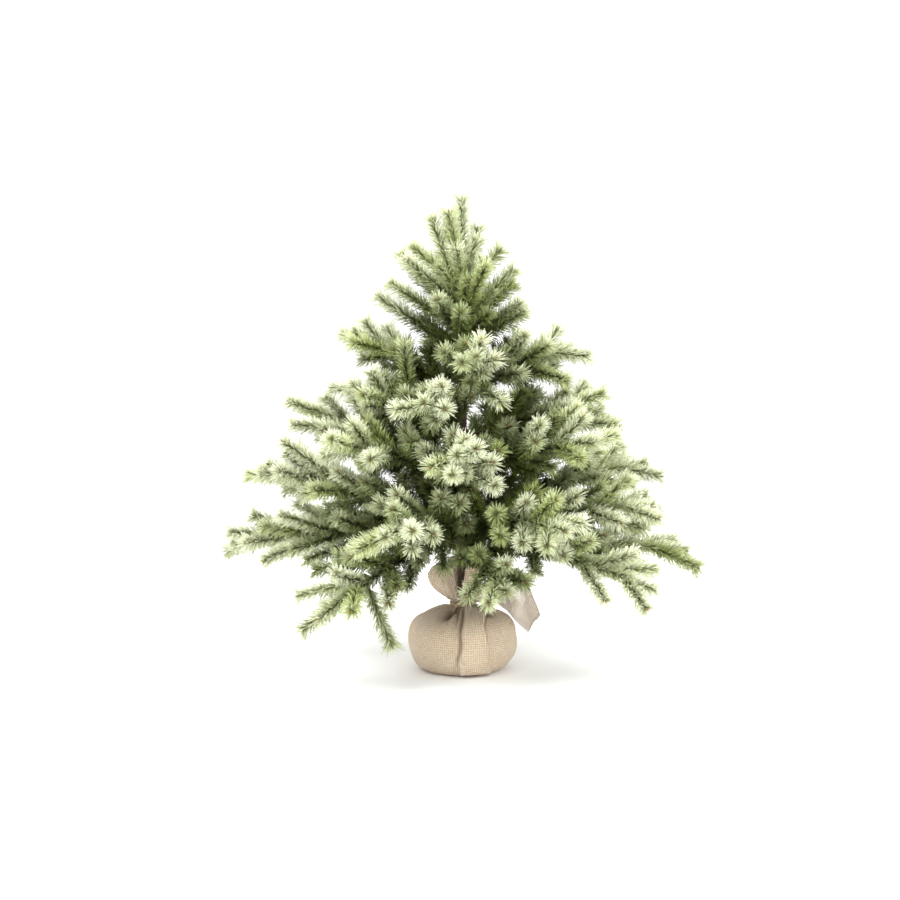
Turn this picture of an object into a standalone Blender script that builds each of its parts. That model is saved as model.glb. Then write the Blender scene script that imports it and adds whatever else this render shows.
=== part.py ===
"""An artificial tabletop tree whose weighted foot is wrapped in burlap.

Metres, +Z up. The origin is under the trunk, on the surface that the tree stands on. -Y is the front.

A cast weight in a thin cup holds a steel pole, wound with brown tape. A square of burlap is gathered round
the weight and tied at the neck. The wire branches are bound to the pole in five tiers, and each one bends at
its root. The crown is a bundle of twigs bound to the top of the pole.
"""

import math
import random

import bmesh
import bpy
import numpy as np
from mathutils import Matrix, Vector

# ---------------------------------------------------------------- driving dimensions
GAP = 0.0003  # air left between touching pieces

WEIGHT_RADIUS = 0.0575
WEIGHT_HEIGHT = 0.056
WEIGHT_EDGE = 0.012  # rounding of the cast edges
CUP_WALL = 0.0012
CUP_HEIGHT = 0.044

POLE_RADIUS = 0.0030
POLE_FOOT = 0.012  # height of the pole's buried end
POLE_TOP = 0.500
TAPE_RADIUS = 0.0060  # outside of the tape wound on the pole
COLLAR_RADIUS = 0.0085  # outside of the tape where branches are bound in
COLLAR_MARGIN = 0.0035  # how far such a binding reaches past a tier's lowest and highest root
COLLAR_SLOPE = 0.0015

CLOTH = 0.0012  # thickness of the burlap
BAG_RADIUS = 0.0685
BAG_FLOOR_RADIUS = 0.046
BAG_BELLY_HEIGHT = 0.036
NECK_HEIGHT = 0.0835  # middle of the tied neck
NECK_HALF = 0.0030  # half the height of the straight neck under the twine
NECK_RADIUS = 0.0125
TWINE_RADIUS = 0.0014
KNOT_RADIUS = 0.0026

# The burlap's leaves above the tie: (azimuth, width in degrees, length of cloth, rise in degrees, droop).
LEAVES = (
    (186, 46, 0.060, 58, 0.2), (292, 24, 0.066, 82, 0.0),
    (344, 46, 0.128, 50, 2.3), (88, 50, 0.070, 56, 0.4),
)
LEAF_FLOOR = 0.020  # length of the cloth between the leaves
LEAF_STEPS = 6
LEAF_ROOM = 0.006  # how near to the leaves' cloth no needles reach

STEM_RADIUS = 0.0016  # a branch's main wire with its tape
TWIG_RADIUS = 0.0011  # a side twig's twisted wire
SLEEVE_RADIUS = 0.0062  # the dense core of a twig's needles
BORE_MARGIN = 0.0006  # how much wider than the wire the hole through the needles is
BARE_WIRE = 0.0018  # wire that shows past the needles at a twig's end
PAST = 0.004  # how far a cutter runs past what it cuts

# Each tier: name, height of its lowest root, and its branches as (azimuth in degrees, how far out the tip
# reaches, how high the tip is). Azimuth 0 is +X, the right side, and 270 is the front.
TIERS = (
    ("skirt", 0.148, (
        (358, 0.279, 0.152), (180, 0.285, 0.161), (227, 0.246, 0.104), (286, 0.180, 0.134),
        (328, 0.268, 0.130), (62, 0.262, 0.142), (120, 0.262, 0.150),
    )),
    ("lower", 0.183, (
        (348, 0.238, 0.214), (15, 0.240, 0.252), (188, 0.250, 0.255), (246, 0.222, 0.204),
        (303, 0.218, 0.208), (92, 0.236, 0.232),
    )),
    ("middle", 0.232, (
        (170, 0.200, 0.329), (216, 0.196, 0.302), (268, 0.172, 0.296), (332, 0.182, 0.300),
        (58, 0.186, 0.312),
    )),
    ("upper", 0.288, ((198, 0.140, 0.364), (250, 0.135, 0.352), (2, 0.172, 0.328), (112, 0.148, 0.358))),
    ("top", 0.343, ((168, 0.137, 0.422), (12, 0.139, 0.402), (278, 0.110, 0.404), (94, 0.116, 0.408))),
)
ROOT_STEP = 0.0045  # each next root of a tier is bound in this much higher
STRETCHES = 4  # straight stretches that a main wire's bend is made of
TWIG_TRIES = 60  # how many ways a side twig is tried before it is left out
INNER_TWIG, OUTER_TWIG = 0.26, 0.85  # where the first and last side twigs leave, as shares of the stem
NEEDLES_FROM = 0.20  # the stem is bare up to this share of its length
SIDE_TWIGS = {"skirt": 6, "lower": 6, "middle": 5, "upper": 4, "top": 4}

# The crown's twigs: (azimuth, height of the root, reach of the tip, height of the tip).
CROWN = (
    (184, 0.402, 0.103, 0.470), (340, 0.408, 0.078, 0.452), (268, 0.414, 0.070, 0.455),
    (80, 0.408, 0.085, 0.465), (170, 0.440, 0.075, 0.520), (12, 0.446, 0.064, 0.500),
    (300, 0.450, 0.055, 0.508), (118, 0.446, 0.060, 0.512), (205, 0.474, 0.041, 0.566),
    (352, 0.476, 0.046, 0.526), (232, 0.486, 0.026, 0.572), (60, 0.480, 0.036, 0.550),
)
CROWN_FOOT = 0.398  # lower end of the tape that binds the crown's twigs to the pole
CROWN_HEAD = 0.512
CROWN_HUB = (0.0070, 0.0056)  # radius of that binding at its foot and head
CROWN_CORE = 0.0115  # radius of the needles packed round the binding
LEADER_BEND = 0.545
LEADER_TOP = 0.588

BROWN_TAPE = (0.075, 0.045, 0.030, 1)
NEEDLE_GREEN = (0.18, 0.27, 0.10, 1)
JUTE = (0.48, 0.36, 0.24, 1)


# ---------------------------------------------------------------- helpers
def material(name, colour, roughness, metallic=0.0):
    made = bpy.data.materials.new(name)
    made.use_nodes = True
    shader = made.node_tree.nodes["Principled BSDF"]
    shader.inputs["Base Color"].default_value = colour
    shader.inputs["Roughness"].default_value = roughness
    shader.inputs["Metallic"].default_value = metallic
    return made


def object_of(name, mesh, finish=None):
    made = bpy.data.objects.new(name, mesh)
    bpy.context.scene.collection.objects.link(made)
    if finish:
        mesh.materials.clear()
        mesh.materials.append(finish)
    return made


def mesh_of(name, build):
    """A mesh filled by build(bm), its faces turned outwards."""
    bm = bmesh.new()
    build(bm)
    bmesh.ops.recalc_face_normals(bm, faces=bm.faces)
    mesh = bpy.data.meshes.new(name)
    bm.to_mesh(mesh)
    bm.free()
    return mesh


def turned(name, profile, steps, finish):
    """A solid of revolution about Z. The profile is (radius, height) from axis to axis."""
    def build(bm):
        ends = [bm.verts.new((0, 0, profile[0][1])), bm.verts.new((0, 0, profile[-1][1]))]
        rings = []
        for radius, height in profile[1:-1]:
            rings.append([
                bm.verts.new((radius * math.cos(a), radius * math.sin(a), height))
                for a in (2 * math.pi * k / steps for k in range(steps))
            ])
        for low, high in zip(rings, rings[1:]):
            for k in range(steps):
                bm.faces.new((low[k], low[k - 1], high[k - 1], high[k]))
        for k in range(steps):
            bm.faces.new((ends[0], rings[0][k], rings[0][k - 1]))
            bm.faces.new((ends[1], rings[-1][k - 1], rings[-1][k]))

    smooth(object_of(name, mesh_of(name, build), finish))


def turned_ring(name, profile, steps, finish):
    """A ring about Z whose section is the closed outline of (radius, height) points."""
    def build(bm):
        rings = [
            [bm.verts.new((r * math.cos(a), r * math.sin(a), z))
             for a in (2 * math.pi * k / steps for k in range(steps))]
            for r, z in profile
        ]
        for n, ring in enumerate(rings):
            before = rings[n - 1]
            for k in range(steps):
                bm.faces.new((before[k], before[k - 1], ring[k - 1], ring[k]))

    smooth(object_of(name, mesh_of(name, build), finish))


def smooth(made, degrees=40):
    made.data.shade_smooth()
    made.data.set_sharp_from_angle(angle=math.radians(degrees))


def arc(centre, radius, start, end, steps):
    """Points along an arc in the radius-height plane, angles in degrees from the outward direction."""
    angles = [math.radians(start + (end - start) * k / steps) for k in range(steps + 1)]
    return [(centre[0] + radius * math.cos(a), centre[1] + radius * math.sin(a)) for a in angles]


def tube(bm, points, radii, sides):
    """Adds a closed tube along points, flat at both ends, whose section is a regular polygon."""
    rings, across = [], None
    for n, point in enumerate(points):
        along = (points[min(n + 1, len(points) - 1)] - points[max(n - 1, 0)]).normalized()
        if across is None:
            across = along.cross(Vector((0, 0, 1)) if abs(along.z) < 0.9 else Vector((1, 0, 0)))
        across = (across - along * across.dot(along)).normalized()
        other = along.cross(across)
        rings.append([
            bm.verts.new(point + radii[n] * (math.cos(a) * across + math.sin(a) * other))
            for a in (2 * math.pi * k / sides for k in range(sides))
        ])
    for low, high in zip(rings, rings[1:]):
        for k in range(sides):
            bm.faces.new((low[k - 1], low[k], high[k], high[k - 1]))
    bm.faces.new(rings[0][::-1])
    bm.faces.new(rings[-1])


def joined(base, other, operation):
    """The mesh of base united with other, or cut by it. Both are meshes, and are used up."""
    first = object_of("boolean_base", base)
    second = object_of("boolean_tool", other)
    cut = first.modifiers.new("join", "BOOLEAN")
    cut.operation = operation
    cut.object = second
    cut.solver = "EXACT"
    bpy.context.view_layer.update()
    made = bpy.data.meshes.new_from_object(first.evaluated_get(bpy.context.evaluated_depsgraph_get()))
    bpy.data.objects.remove(first)
    bpy.data.objects.remove(second)
    return made


# ---------------------------------------------------------------- where the wires run
def polar(radius, azimuth, height):
    a = math.radians(azimuth)
    return Vector((radius * math.cos(a), radius * math.sin(a), height))


def stem_line(root, tip, arch):
    """A branch's main wire from root to tip, lifted in the middle by arch, as straight stretches."""
    line = []
    for k in range(STRETCHES + 1):
        share = k / STRETCHES
        line.append(root.lerp(tip, share) + Vector((0, 0, arch * 4 * share * (1 - share))))
    return line


def point_on(line, share):
    """The point and direction at that share of a line of equal stretches."""
    at = share * (len(line) - 1)
    n = min(int(at), len(line) - 2)
    return line[n].lerp(line[n + 1], at - n), (line[n + 1] - line[n]).normalized()


def side_twigs(line, count, chance, taken):
    """Side twigs alternate left and right along the stem, each turned and shortened until it runs clear."""
    reach = (line[-1] - line[0]).length
    found = []
    for k in range(count):
        share = INNER_TWIG + (OUTER_TWIG - INNER_TWIG) * k / (count - 1)
        start, along = point_on(line, share)
        left = Vector((0, 0, 1)).cross(along).normalized() * (-1 if k % 2 else 1)
        up = along.cross(left).normalized()
        full = (0.034 + 0.21 * reach) * (1.15 - 0.55 * share) * chance.uniform(0.93, 1.07)
        for attempt in range(TWIG_TRIES):
            loose = attempt / TWIG_TRIES
            spread = math.radians(44 - 12 * share + chance.uniform(-5, 5) * (1 + 4 * loose))
            lean = math.radians((14, -12, -8, 16, 4)[k % 5] + chance.uniform(-4, 4) * (1 + 9 * loose))
            heading = along * math.cos(spread) + left * math.sin(spread)
            heading = (heading * math.cos(lean) + up * math.sin(lean)).normalized()
            end = start + heading * full * (1 - 0.45 * loose)
            if runs_clear(start, end, SLEEVE_RADIUS, taken):
                found.append((start, end))
                break
    return found


def between(p, q, starts, ends):
    """The distances between the stretch from p to q and each of the stretches from starts to ends."""
    d, others, apart = q - p, ends - starts, p - starts
    a, e, f = d @ d, (others * others).sum(axis=1), (others * apart).sum(axis=1)
    c, b = apart @ d, others @ d
    wide = np.maximum(a * e - b * b, 1e-12)
    s = np.clip((b * f - c * e) / wide, 0, 1)
    t = np.clip((b * s + f) / e, 0, 1)
    s = np.clip((b * t - c) / a, 0, 1)
    return np.linalg.norm(apart + s[:, None] * d - t[:, None] * others, axis=1)


def runs_clear(start, end, radius, taken):
    """Whether a sleeve of this radius misses every stretch of the branches made so far."""
    starts, ends, radii = (np.array(column) for column in zip(*taken))
    return bool((between(np.array(start), np.array(end), starts, ends) - radii > radius + GAP).all())


def stretches(line, twigs):
    """A branch as (start, end, radius) stretches: bare wire near its root, and needles beyond."""
    made = [(tuple(a), tuple(b), SLEEVE_RADIUS if k else STEM_RADIUS + 0.002)
            for k, (a, b) in enumerate(zip(line, line[1:]))]
    return made + [(tuple(a), tuple(b), SLEEVE_RADIUS) for a, b in twigs]


def branches():
    """(name, root, azimuth, main line, side twigs) for every branch, from the lowest up."""
    planned = []
    out = COLLAR_RADIUS + STEM_RADIUS + GAP
    for tier, height, limbs in TIERS:
        for k, (azimuth, reach, rise) in enumerate(limbs):
            number = len(planned) + 1
            root = polar(out, azimuth, height + ROOT_STEP * (k * 3 % len(limbs)))
            line = stem_line(root, polar(reach, azimuth, rise), 0.035 * reach)
            planned.append((f"branch_{number:02d}", root, azimuth, line, SIDE_TWIGS[tier]))
    made = []
    for number, (name, root, azimuth, line, count) in enumerate(planned):
        taken = leaf_stretches() + crown_stretches()
        taken += [piece for other in planned[number + 1:] for piece in stretches(other[3], [])]
        taken += [piece for other in made for piece in stretches(other[3], other[4])]
        twigs = side_twigs(line, count, random.Random(100 + number), taken)
        made.append((name, root, azimuth, line, twigs))
    return made


def leaf_at(azimuth):
    """The cloth's length above the tie at this azimuth, and how it rises and droops there."""
    length, rise, droop, weight = LEAF_FLOOR, 0.0, 0.0, 0.0
    for middle, width, long, up, over in LEAVES:
        apart = abs((azimuth - middle + 180) % 360 - 180) / width
        share = math.exp(-2.2 * apart * apart)
        length = max(length, LEAF_FLOOR + (long - LEAF_FLOOR) * share)
        near = 1 / (0.05 + apart * apart)
        rise, droop, weight = rise + up * near, droop + over * near * min(1, share * 1.4), weight + near
    return length, rise / weight, droop / weight


def leaf_column(azimuth):
    """Points up the cloth above the neck at this azimuth."""
    length, rise, droop = leaf_at(azimuth)
    radius, height, column = NECK_RADIUS, NECK_HEIGHT + NECK_HALF, []
    for n in range(LEAF_STEPS):
        slope = math.radians(rise) - droop * (n + 0.5) / LEAF_STEPS
        radius += length / LEAF_STEPS * math.cos(slope)
        height += length / LEAF_STEPS * math.sin(slope)
        column.append(polar(radius, azimuth, height))
    return column


def crown_twigs():
    return [(polar(0.005, azimuth, low), polar(reach, azimuth, high)) for azimuth, low, reach, high in CROWN]


def crown_stretches():
    """The crown as stretches that the branches keep clear of: its twigs and the needles round its hub."""
    made = [(tuple(start), tuple(end), SLEEVE_RADIUS) for start, end in crown_twigs()]
    return made + [((0, 0, CROWN_FOOT), (0, 0, CROWN_HEAD), CROWN_CORE)]


def leaf_stretches():
    """The burlap's leaves as stretches that the branches keep clear of."""
    made = []
    for azimuth, width, *_ in LEAVES:
        for turn in (-0.4, 0, 0.4):
            column = leaf_column(azimuth + turn * width)
            made += [(tuple(a), tuple(b), LEAF_ROOM) for a, b in zip(column, column[1:])]
    return made


# ---------------------------------------------------------------- wires and needles
def wire_mesh(name, line, twigs, stem_radius, twig_radius, extra=0.0):
    """The main wire united with its side twigs. extra lengthens every end, for a cutter."""
    ends = [line[0] - (line[1] - line[0]).normalized() * extra, *line[1:-1]]
    ends.append(line[-1] + (line[-1] - line[-2]).normalized() * extra)
    taper = [stem_radius - (stem_radius - twig_radius) * k / (len(line) - 1) for k in range(len(line))]
    stem = mesh_of(name, lambda bm: tube(bm, ends, taper, 4))

    def build(bm):
        for start, end in twigs:
            over = (end - start).normalized() * extra
            tube(bm, [start, end + over], [twig_radius, twig_radius], 3)

    return joined(stem, mesh_of(name, build), "UNION")


def sleeve_line(start, end, radius, lead):
    """Points and radii of the needles round one twig: they swell from the start and close in at the end."""
    along = (end - start).normalized()
    length = (end - start).length - BARE_WIRE
    places = (lead, length - 0.012, length)
    return [start + along * x for x in places], [0.75 * radius, radius, 0.5 * radius]


def needle_mesh(name, line, twigs, first):
    """The needles' dense core along the stem, from the share called first, and along every side twig."""
    start, _ = point_on(line, first)
    inner = int(first * (len(line) - 1)) + 1
    path = [start, *line[inner + 1:-1]]
    end_way = (line[-1] - line[-2]).normalized()
    path += [line[-1] - end_way * (BARE_WIRE + 0.012), line[-1] - end_way * BARE_WIRE]
    radii = [0.6 * SLEEVE_RADIUS, *[SLEEVE_RADIUS] * (len(path) - 2), 0.5 * SLEEVE_RADIUS]
    core = mesh_of(name, lambda bm: tube(bm, path, radii, 4))

    def build(bm):
        for twig_start, twig_end in twigs:
            points, sizes = sleeve_line(twig_start, twig_end, 0.95 * SLEEVE_RADIUS, 0.0005)
            tube(bm, points, sizes, 4)

    core = joined(core, mesh_of(name, build), "UNION")
    bore = wire_mesh(name, line, twigs, STEM_RADIUS + BORE_MARGIN, TWIG_RADIUS + 1.4 * BORE_MARGIN, PAST)
    return joined(core, bore, "DIFFERENCE")


def build_branches(tape, green):
    for name, root, azimuth, line, twigs in branches():
        hinge = bpy.data.objects.new(name, None)
        bpy.context.scene.collection.objects.link(hinge)
        hinge.location = root
        hinge.rotation_euler = (0, 0, math.radians(azimuth))
        bpy.context.view_layer.update()
        wire = wire_mesh(name, line, twigs, STEM_RADIUS, TWIG_RADIUS)
        needles = needle_mesh(name, line, twigs, NEEDLES_FROM)
        for kind, mesh, finish in (("wire", wire, tape), ("needles", needles, green)):
            mesh.transform(hinge.matrix_world.inverted())
            made = object_of(f"{name}_{kind}", mesh, finish)
            made.parent = hinge


def upright(*heights):
    return [Vector((0, 0, height)) for height in heights]


def shoots(twigs, radius, extra):
    """The crown's side twigs as plain wires, each lengthened by extra."""
    def build(bm):
        for start, end in twigs:
            tube(bm, [start, end + (end - start).normalized() * extra], [radius, radius], 3)

    return mesh_of("shoots", build)


def leader_mesh(radius, extra):
    path = upright(CROWN_HEAD - 0.007, LEADER_BEND, LEADER_TOP + extra)
    return mesh_of("leader", lambda bm: tube(bm, path, [radius] * 3, 4))


def build_crown(tape, green):
    """The crown's twigs and leader, bound into one bundle round the pole's top, and their needles."""
    twigs = crown_twigs()
    hub = mesh_of("hub", lambda bm: tube(bm, upright(CROWN_FOOT, CROWN_HEAD), CROWN_HUB, 8))
    bundle = joined(hub, leader_mesh(TWIG_RADIUS, 0.0), "UNION")
    bundle = joined(bundle, shoots(twigs, TWIG_RADIUS, 0.0), "UNION")
    bore = (POLE_RADIUS + GAP) / math.cos(math.pi / 8)
    socket = mesh_of("socket", lambda bm: tube(bm, upright(CROWN_FOOT - PAST, POLE_TOP + GAP), [bore] * 2, 8))
    object_of("crown_wires", joined(bundle, socket, "DIFFERENCE"), tape)

    top = LEADER_TOP - BARE_WIRE
    core = mesh_of("core", lambda bm: tube(
        bm, upright(CROWN_FOOT + 0.006, CROWN_FOOT + 0.012, CROWN_HEAD + 0.006),
        [0.95 * CROWN_CORE, CROWN_CORE, 0.8 * CROWN_CORE], 8))
    spire = mesh_of("spire", lambda bm: tube(
        bm, upright(CROWN_HEAD + 0.0045, LEADER_BEND, top - 0.012, top),
        [0.0085, SLEEVE_RADIUS, SLEEVE_RADIUS, 0.5 * SLEEVE_RADIUS], 6))

    def sprays(bm):
        for start, end in twigs:
            along = (end - start).normalized()
            lead = 0.0025 / max(Vector((along.x, along.y, 0)).length, 0.2)
            points, sizes = sleeve_line(start, end, 0.95 * SLEEVE_RADIUS, lead)
            tube(bm, points, sizes, 4)

    core = joined(joined(core, spire, "UNION"), mesh_of("sprays", sprays), "UNION")
    hollow = mesh_of("hollow", lambda bm: tube(
        bm, upright(CROWN_FOOT - PAST, CROWN_HEAD + 0.0025), [radius + 0.0012 for radius in CROWN_HUB], 8))
    core = joined(core, joined(hollow, leader_mesh(TWIG_RADIUS + BORE_MARGIN, PAST), "UNION"), "DIFFERENCE")
    core = joined(core, shoots(twigs, TWIG_RADIUS + 1.4 * BORE_MARGIN, PAST), "DIFFERENCE")
    object_of("crown_needles", core, green)


# ---------------------------------------------------------------- the foot
def build_weight(cement):
    """A cast block with rounded edges and a blind hole that holds the pole."""
    low = CLOTH + CUP_WALL + 2 * GAP
    high = low + WEIGHT_HEIGHT
    hole = POLE_RADIUS + GAP
    profile = [(0, low)]
    profile += arc((WEIGHT_RADIUS - WEIGHT_EDGE, low + WEIGHT_EDGE), WEIGHT_EDGE, -90, 0, 3)
    profile += arc((WEIGHT_RADIUS - WEIGHT_EDGE, high - WEIGHT_EDGE), WEIGHT_EDGE, 0, 90, 3)
    profile += [(hole, high), (hole, POLE_FOOT - GAP), (0, POLE_FOOT - GAP)]
    turned("cast_weight", profile, 24, cement)


def build_cup(plastic):
    """The thin cup that the weight was cast in."""
    low = CLOTH + GAP
    inner, outer = WEIGHT_RADIUS + GAP, WEIGHT_RADIUS + GAP + CUP_WALL
    bend = WEIGHT_EDGE + GAP
    profile = [(0, low)]
    profile += arc((outer - bend - CUP_WALL, low + bend + CUP_WALL), bend + CUP_WALL, -90, 0, 3)
    profile += [(outer, CUP_HEIGHT), (inner, CUP_HEIGHT)]
    profile += arc((inner - bend, low + CUP_WALL + bend), bend, 0, -90, 3)
    profile += [(0, low + CUP_WALL)]
    turned("casting_cup", profile, 24, plastic)


def build_pole(steel, tape):
    """The steel pole, and the tape wound on it, thicker where each tier is bound in."""
    rod = [(0, POLE_FOOT), (POLE_RADIUS, POLE_FOOT), (POLE_RADIUS, POLE_TOP), (0, POLE_TOP)]
    turned("pole", rod, 8, steel)
    bore = POLE_RADIUS + GAP
    low = CLOTH + CUP_WALL + 2 * GAP + WEIGHT_HEIGHT + GAP
    high = CROWN_FOOT - GAP
    outline = [(bore, low), (TAPE_RADIUS + 0.002, low), (TAPE_RADIUS, low + 0.02)]
    for _, height, limbs in TIERS:
        foot = height - COLLAR_MARGIN
        head = height + ROOT_STEP * (len(limbs) - 1) + COLLAR_MARGIN
        outline += [(TAPE_RADIUS, foot), (COLLAR_RADIUS, foot + COLLAR_SLOPE),
                    (COLLAR_RADIUS, head - COLLAR_SLOPE), (TAPE_RADIUS, head)]
    outline += [(TAPE_RADIUS, high), (bore, high)]
    turned_ring("pole_tape", outline, 10, tape)


def build_burlap(jute):
    """One cloth: flat underneath, round the weight, gathered at the neck and open in leaves above the tie."""
    columns = 28
    belly = [(BAG_FLOOR_RADIUS * 0.55, 0.0), (BAG_FLOOR_RADIUS, 0.0)]
    for k in range(1, 5):
        a = math.radians(-90 + 22 * k)
        belly.append((
            BAG_FLOOR_RADIUS + (BAG_RADIUS - BAG_FLOOR_RADIUS) * math.cos(a) ** 0.8,
            BAG_BELLY_HEIGHT * (1 + math.sin(a)),
        ))
    shoulder = ((BAG_RADIUS, 0.040), (0.0655, 0.056), (0.053, 0.0685), (0.034, 0.0765),
                (NECK_RADIUS, NECK_HEIGHT - NECK_HALF), (NECK_RADIUS, NECK_HEIGHT + NECK_HALF))
    outline = belly + list(shoulder)

    def build(bm):
        rings = [[bm.verts.new((r * math.cos(a), r * math.sin(a), z))
                  for a in (2 * math.pi * k / columns for k in range(columns))] for r, z in outline]
        leaves = [[bm.verts.new(point) for point in leaf_column(360 * k / columns)] for k in range(columns)]
        rings += [[leaves[k][n] for k in range(columns)] for n in range(LEAF_STEPS)]
        for low, high in zip(rings, rings[1:]):
            for k in range(columns):
                bm.faces.new((low[k - 1], low[k], high[k], high[k - 1]))
        bm.faces.new(rings[0][::-1])

    made = object_of("burlap_wrap", mesh_of("burlap_wrap", build), jute)
    thick = made.modifiers.new("cloth", "SOLIDIFY")
    thick.thickness = CLOTH
    thick.offset = 1  # the open cloth's faces point in, so its outer side stays where it is
    made.data.shade_smooth()


def build_tie(jute):
    """Jute twine round the neck, with its knot at the front and two short tails."""
    turns = 16
    ring_radius = (NECK_RADIUS + GAP + TWINE_RADIUS) / math.cos(math.pi / turns)
    loop = [
        Vector((ring_radius * math.cos(a), ring_radius * math.sin(a), NECK_HEIGHT))
        for a in (2 * math.pi * k / turns for k in range(turns))
    ]

    def ring(bm):
        rows = []
        for point in loop:
            out = Vector((point.x, point.y, 0)).normalized()
            rows.append([
                bm.verts.new(point + TWINE_RADIUS * (math.cos(b) * out + math.sin(b) * Vector((0, 0, 1))))
                for b in (2 * math.pi * j / 6 for j in range(6))
            ])
        for n, row in enumerate(rows):
            for j in range(6):
                bm.faces.new((rows[n - 1][j - 1], row[j - 1], row[j], rows[n - 1][j]))

    knot = Vector((0.002, -ring_radius - 0.0012, NECK_HEIGHT))

    def lump(bm):
        bmesh.ops.create_icosphere(bm, subdivisions=1, radius=KNOT_RADIUS, matrix=Matrix.Translation(knot))

    def tails(bm):
        for way in (-1, 1):
            middle, end = Vector((0.007 * way, -0.004, 0.003)), Vector((0.013 * way, -0.008, 0))
            tube(bm, [knot, knot + middle, knot + end], [0.0010, 0.0010, 0.0008], 5)

    tie = joined(mesh_of("tie", ring), mesh_of("knot", lump), "UNION")
    tie = joined(tie, mesh_of("tails", tails), "UNION")
    object_of("twine_tie", tie, jute)


# ---------------------------------------------------------------- the whole tree
def build_tree():
    for old in list(bpy.data.objects):
        bpy.data.objects.remove(old)
    cement = material("cast_cement", (0.42, 0.41, 0.39, 1), 0.9)
    plastic = material("cup_plastic", (0.08, 0.08, 0.08, 1), 0.5)
    steel = material("pole_steel", (0.55, 0.55, 0.56, 1), 0.35, 1.0)
    tape = material("brown_tape", BROWN_TAPE, 0.8)
    green = material("needle_green", NEEDLE_GREEN, 0.55)
    jute = material("jute", JUTE, 0.95)
    build_weight(cement)
    build_cup(plastic)
    build_pole(steel, tape)
    build_burlap(jute)
    build_tie(jute)
    build_branches(tape, green)
    build_crown(tape, green)


build_tree()
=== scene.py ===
"""Looks of an artificial tabletop tree: frosted needles on wire branches, and a burlap-wrapped foot."""
import math
import random

import bmesh
import bpy
import numpy as np
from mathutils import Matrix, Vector


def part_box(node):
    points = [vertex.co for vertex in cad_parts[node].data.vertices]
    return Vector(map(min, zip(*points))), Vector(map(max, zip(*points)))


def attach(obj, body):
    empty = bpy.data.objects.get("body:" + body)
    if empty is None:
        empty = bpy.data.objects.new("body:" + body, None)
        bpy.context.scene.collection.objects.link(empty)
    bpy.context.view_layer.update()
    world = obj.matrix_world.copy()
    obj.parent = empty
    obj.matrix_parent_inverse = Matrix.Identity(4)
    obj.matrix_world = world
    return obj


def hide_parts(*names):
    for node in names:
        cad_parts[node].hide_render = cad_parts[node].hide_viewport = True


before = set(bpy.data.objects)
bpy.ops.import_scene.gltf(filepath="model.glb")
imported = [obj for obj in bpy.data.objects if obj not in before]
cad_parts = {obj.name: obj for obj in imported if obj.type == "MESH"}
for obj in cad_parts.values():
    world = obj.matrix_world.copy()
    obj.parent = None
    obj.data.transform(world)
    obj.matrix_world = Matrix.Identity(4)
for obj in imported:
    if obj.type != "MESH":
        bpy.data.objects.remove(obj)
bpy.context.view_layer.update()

# ---------------------------------------------------------------- the wires' plan, as the frame has it
GAP = 0.0003
COLLAR_RADIUS = 0.0085
STEM_RADIUS = 0.0016
TWIG_RADIUS = 0.0011
SLEEVE_RADIUS = 0.0062
STRETCHES = 4
TWIG_TRIES = 60
INNER_TWIG, OUTER_TWIG = 0.26, 0.85
ROOT_STEP = 0.0045
ARCH = 0.035                    # a main wire's lift in the middle, as a share of its reach
NECK_HEIGHT, NECK_HALF, NECK_RADIUS = 0.0835, 0.0030, 0.0125

# The burlap's leaves above the tie: (azimuth, width in degrees, length of cloth, rise in degrees, droop).
LEAVES = (
    (186, 46, 0.060, 58, 0.2), (292, 24, 0.066, 82, 0.0),
    (344, 46, 0.128, 50, 2.3), (88, 50, 0.070, 56, 0.4),
)
LEAF_FLOOR, LEAF_STEPS, LEAF_ROOM = 0.020, 6, 0.006

# Each tier: its name, the height of its lowest root, and its branches, each as the azimuth, reach and height
# of its tip.
TIERS = (
    ("skirt", 0.148, (
        (358, 0.279, 0.152), (180, 0.285, 0.161), (227, 0.246, 0.104), (286, 0.180, 0.134),
        (328, 0.268, 0.130), (62, 0.262, 0.142), (120, 0.262, 0.150),
    )),
    ("lower", 0.183, (
        (348, 0.238, 0.214), (15, 0.240, 0.252), (188, 0.250, 0.255), (246, 0.222, 0.204),
        (303, 0.218, 0.208), (92, 0.236, 0.232),
    )),
    ("middle", 0.232, (
        (170, 0.200, 0.329), (216, 0.196, 0.302), (268, 0.172, 0.296), (332, 0.182, 0.300),
        (58, 0.186, 0.312),
    )),
    ("upper", 0.288, (
        (198, 0.140, 0.364), (250, 0.135, 0.352), (2, 0.172, 0.328), (112, 0.148, 0.358),
    )),
    ("top", 0.343, (
        (168, 0.137, 0.422), (12, 0.139, 0.402), (278, 0.110, 0.404), (94, 0.116, 0.408),
    )),
)
SIDE_TWIGS = {"skirt": 6, "lower": 6, "middle": 5, "upper": 4, "top": 4}

# The crown's twigs: (azimuth, height of the root, reach of the tip, height of the tip).
CROWN = (
    (184, 0.402, 0.103, 0.470), (340, 0.408, 0.078, 0.452), (268, 0.414, 0.070, 0.455),
    (80, 0.408, 0.085, 0.465), (170, 0.440, 0.075, 0.520), (12, 0.446, 0.064, 0.500),
    (300, 0.450, 0.055, 0.508), (118, 0.446, 0.060, 0.512), (205, 0.474, 0.041, 0.566),
    (352, 0.476, 0.046, 0.526), (232, 0.486, 0.026, 0.572), (60, 0.480, 0.036, 0.550),
)
CROWN_FOOT, CROWN_HEAD, CROWN_CORE, LEADER_TOP = 0.398, 0.512, 0.0115, 0.588
CROWN_TWIG_ROOT = 0.005         # from the leader's axis


def polar(radius, azimuth, height):
    """The point at this distance from the trunk's axis, azimuth in degrees, and height."""
    a = math.radians(azimuth)
    return Vector((radius * math.cos(a), radius * math.sin(a), height))


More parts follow.
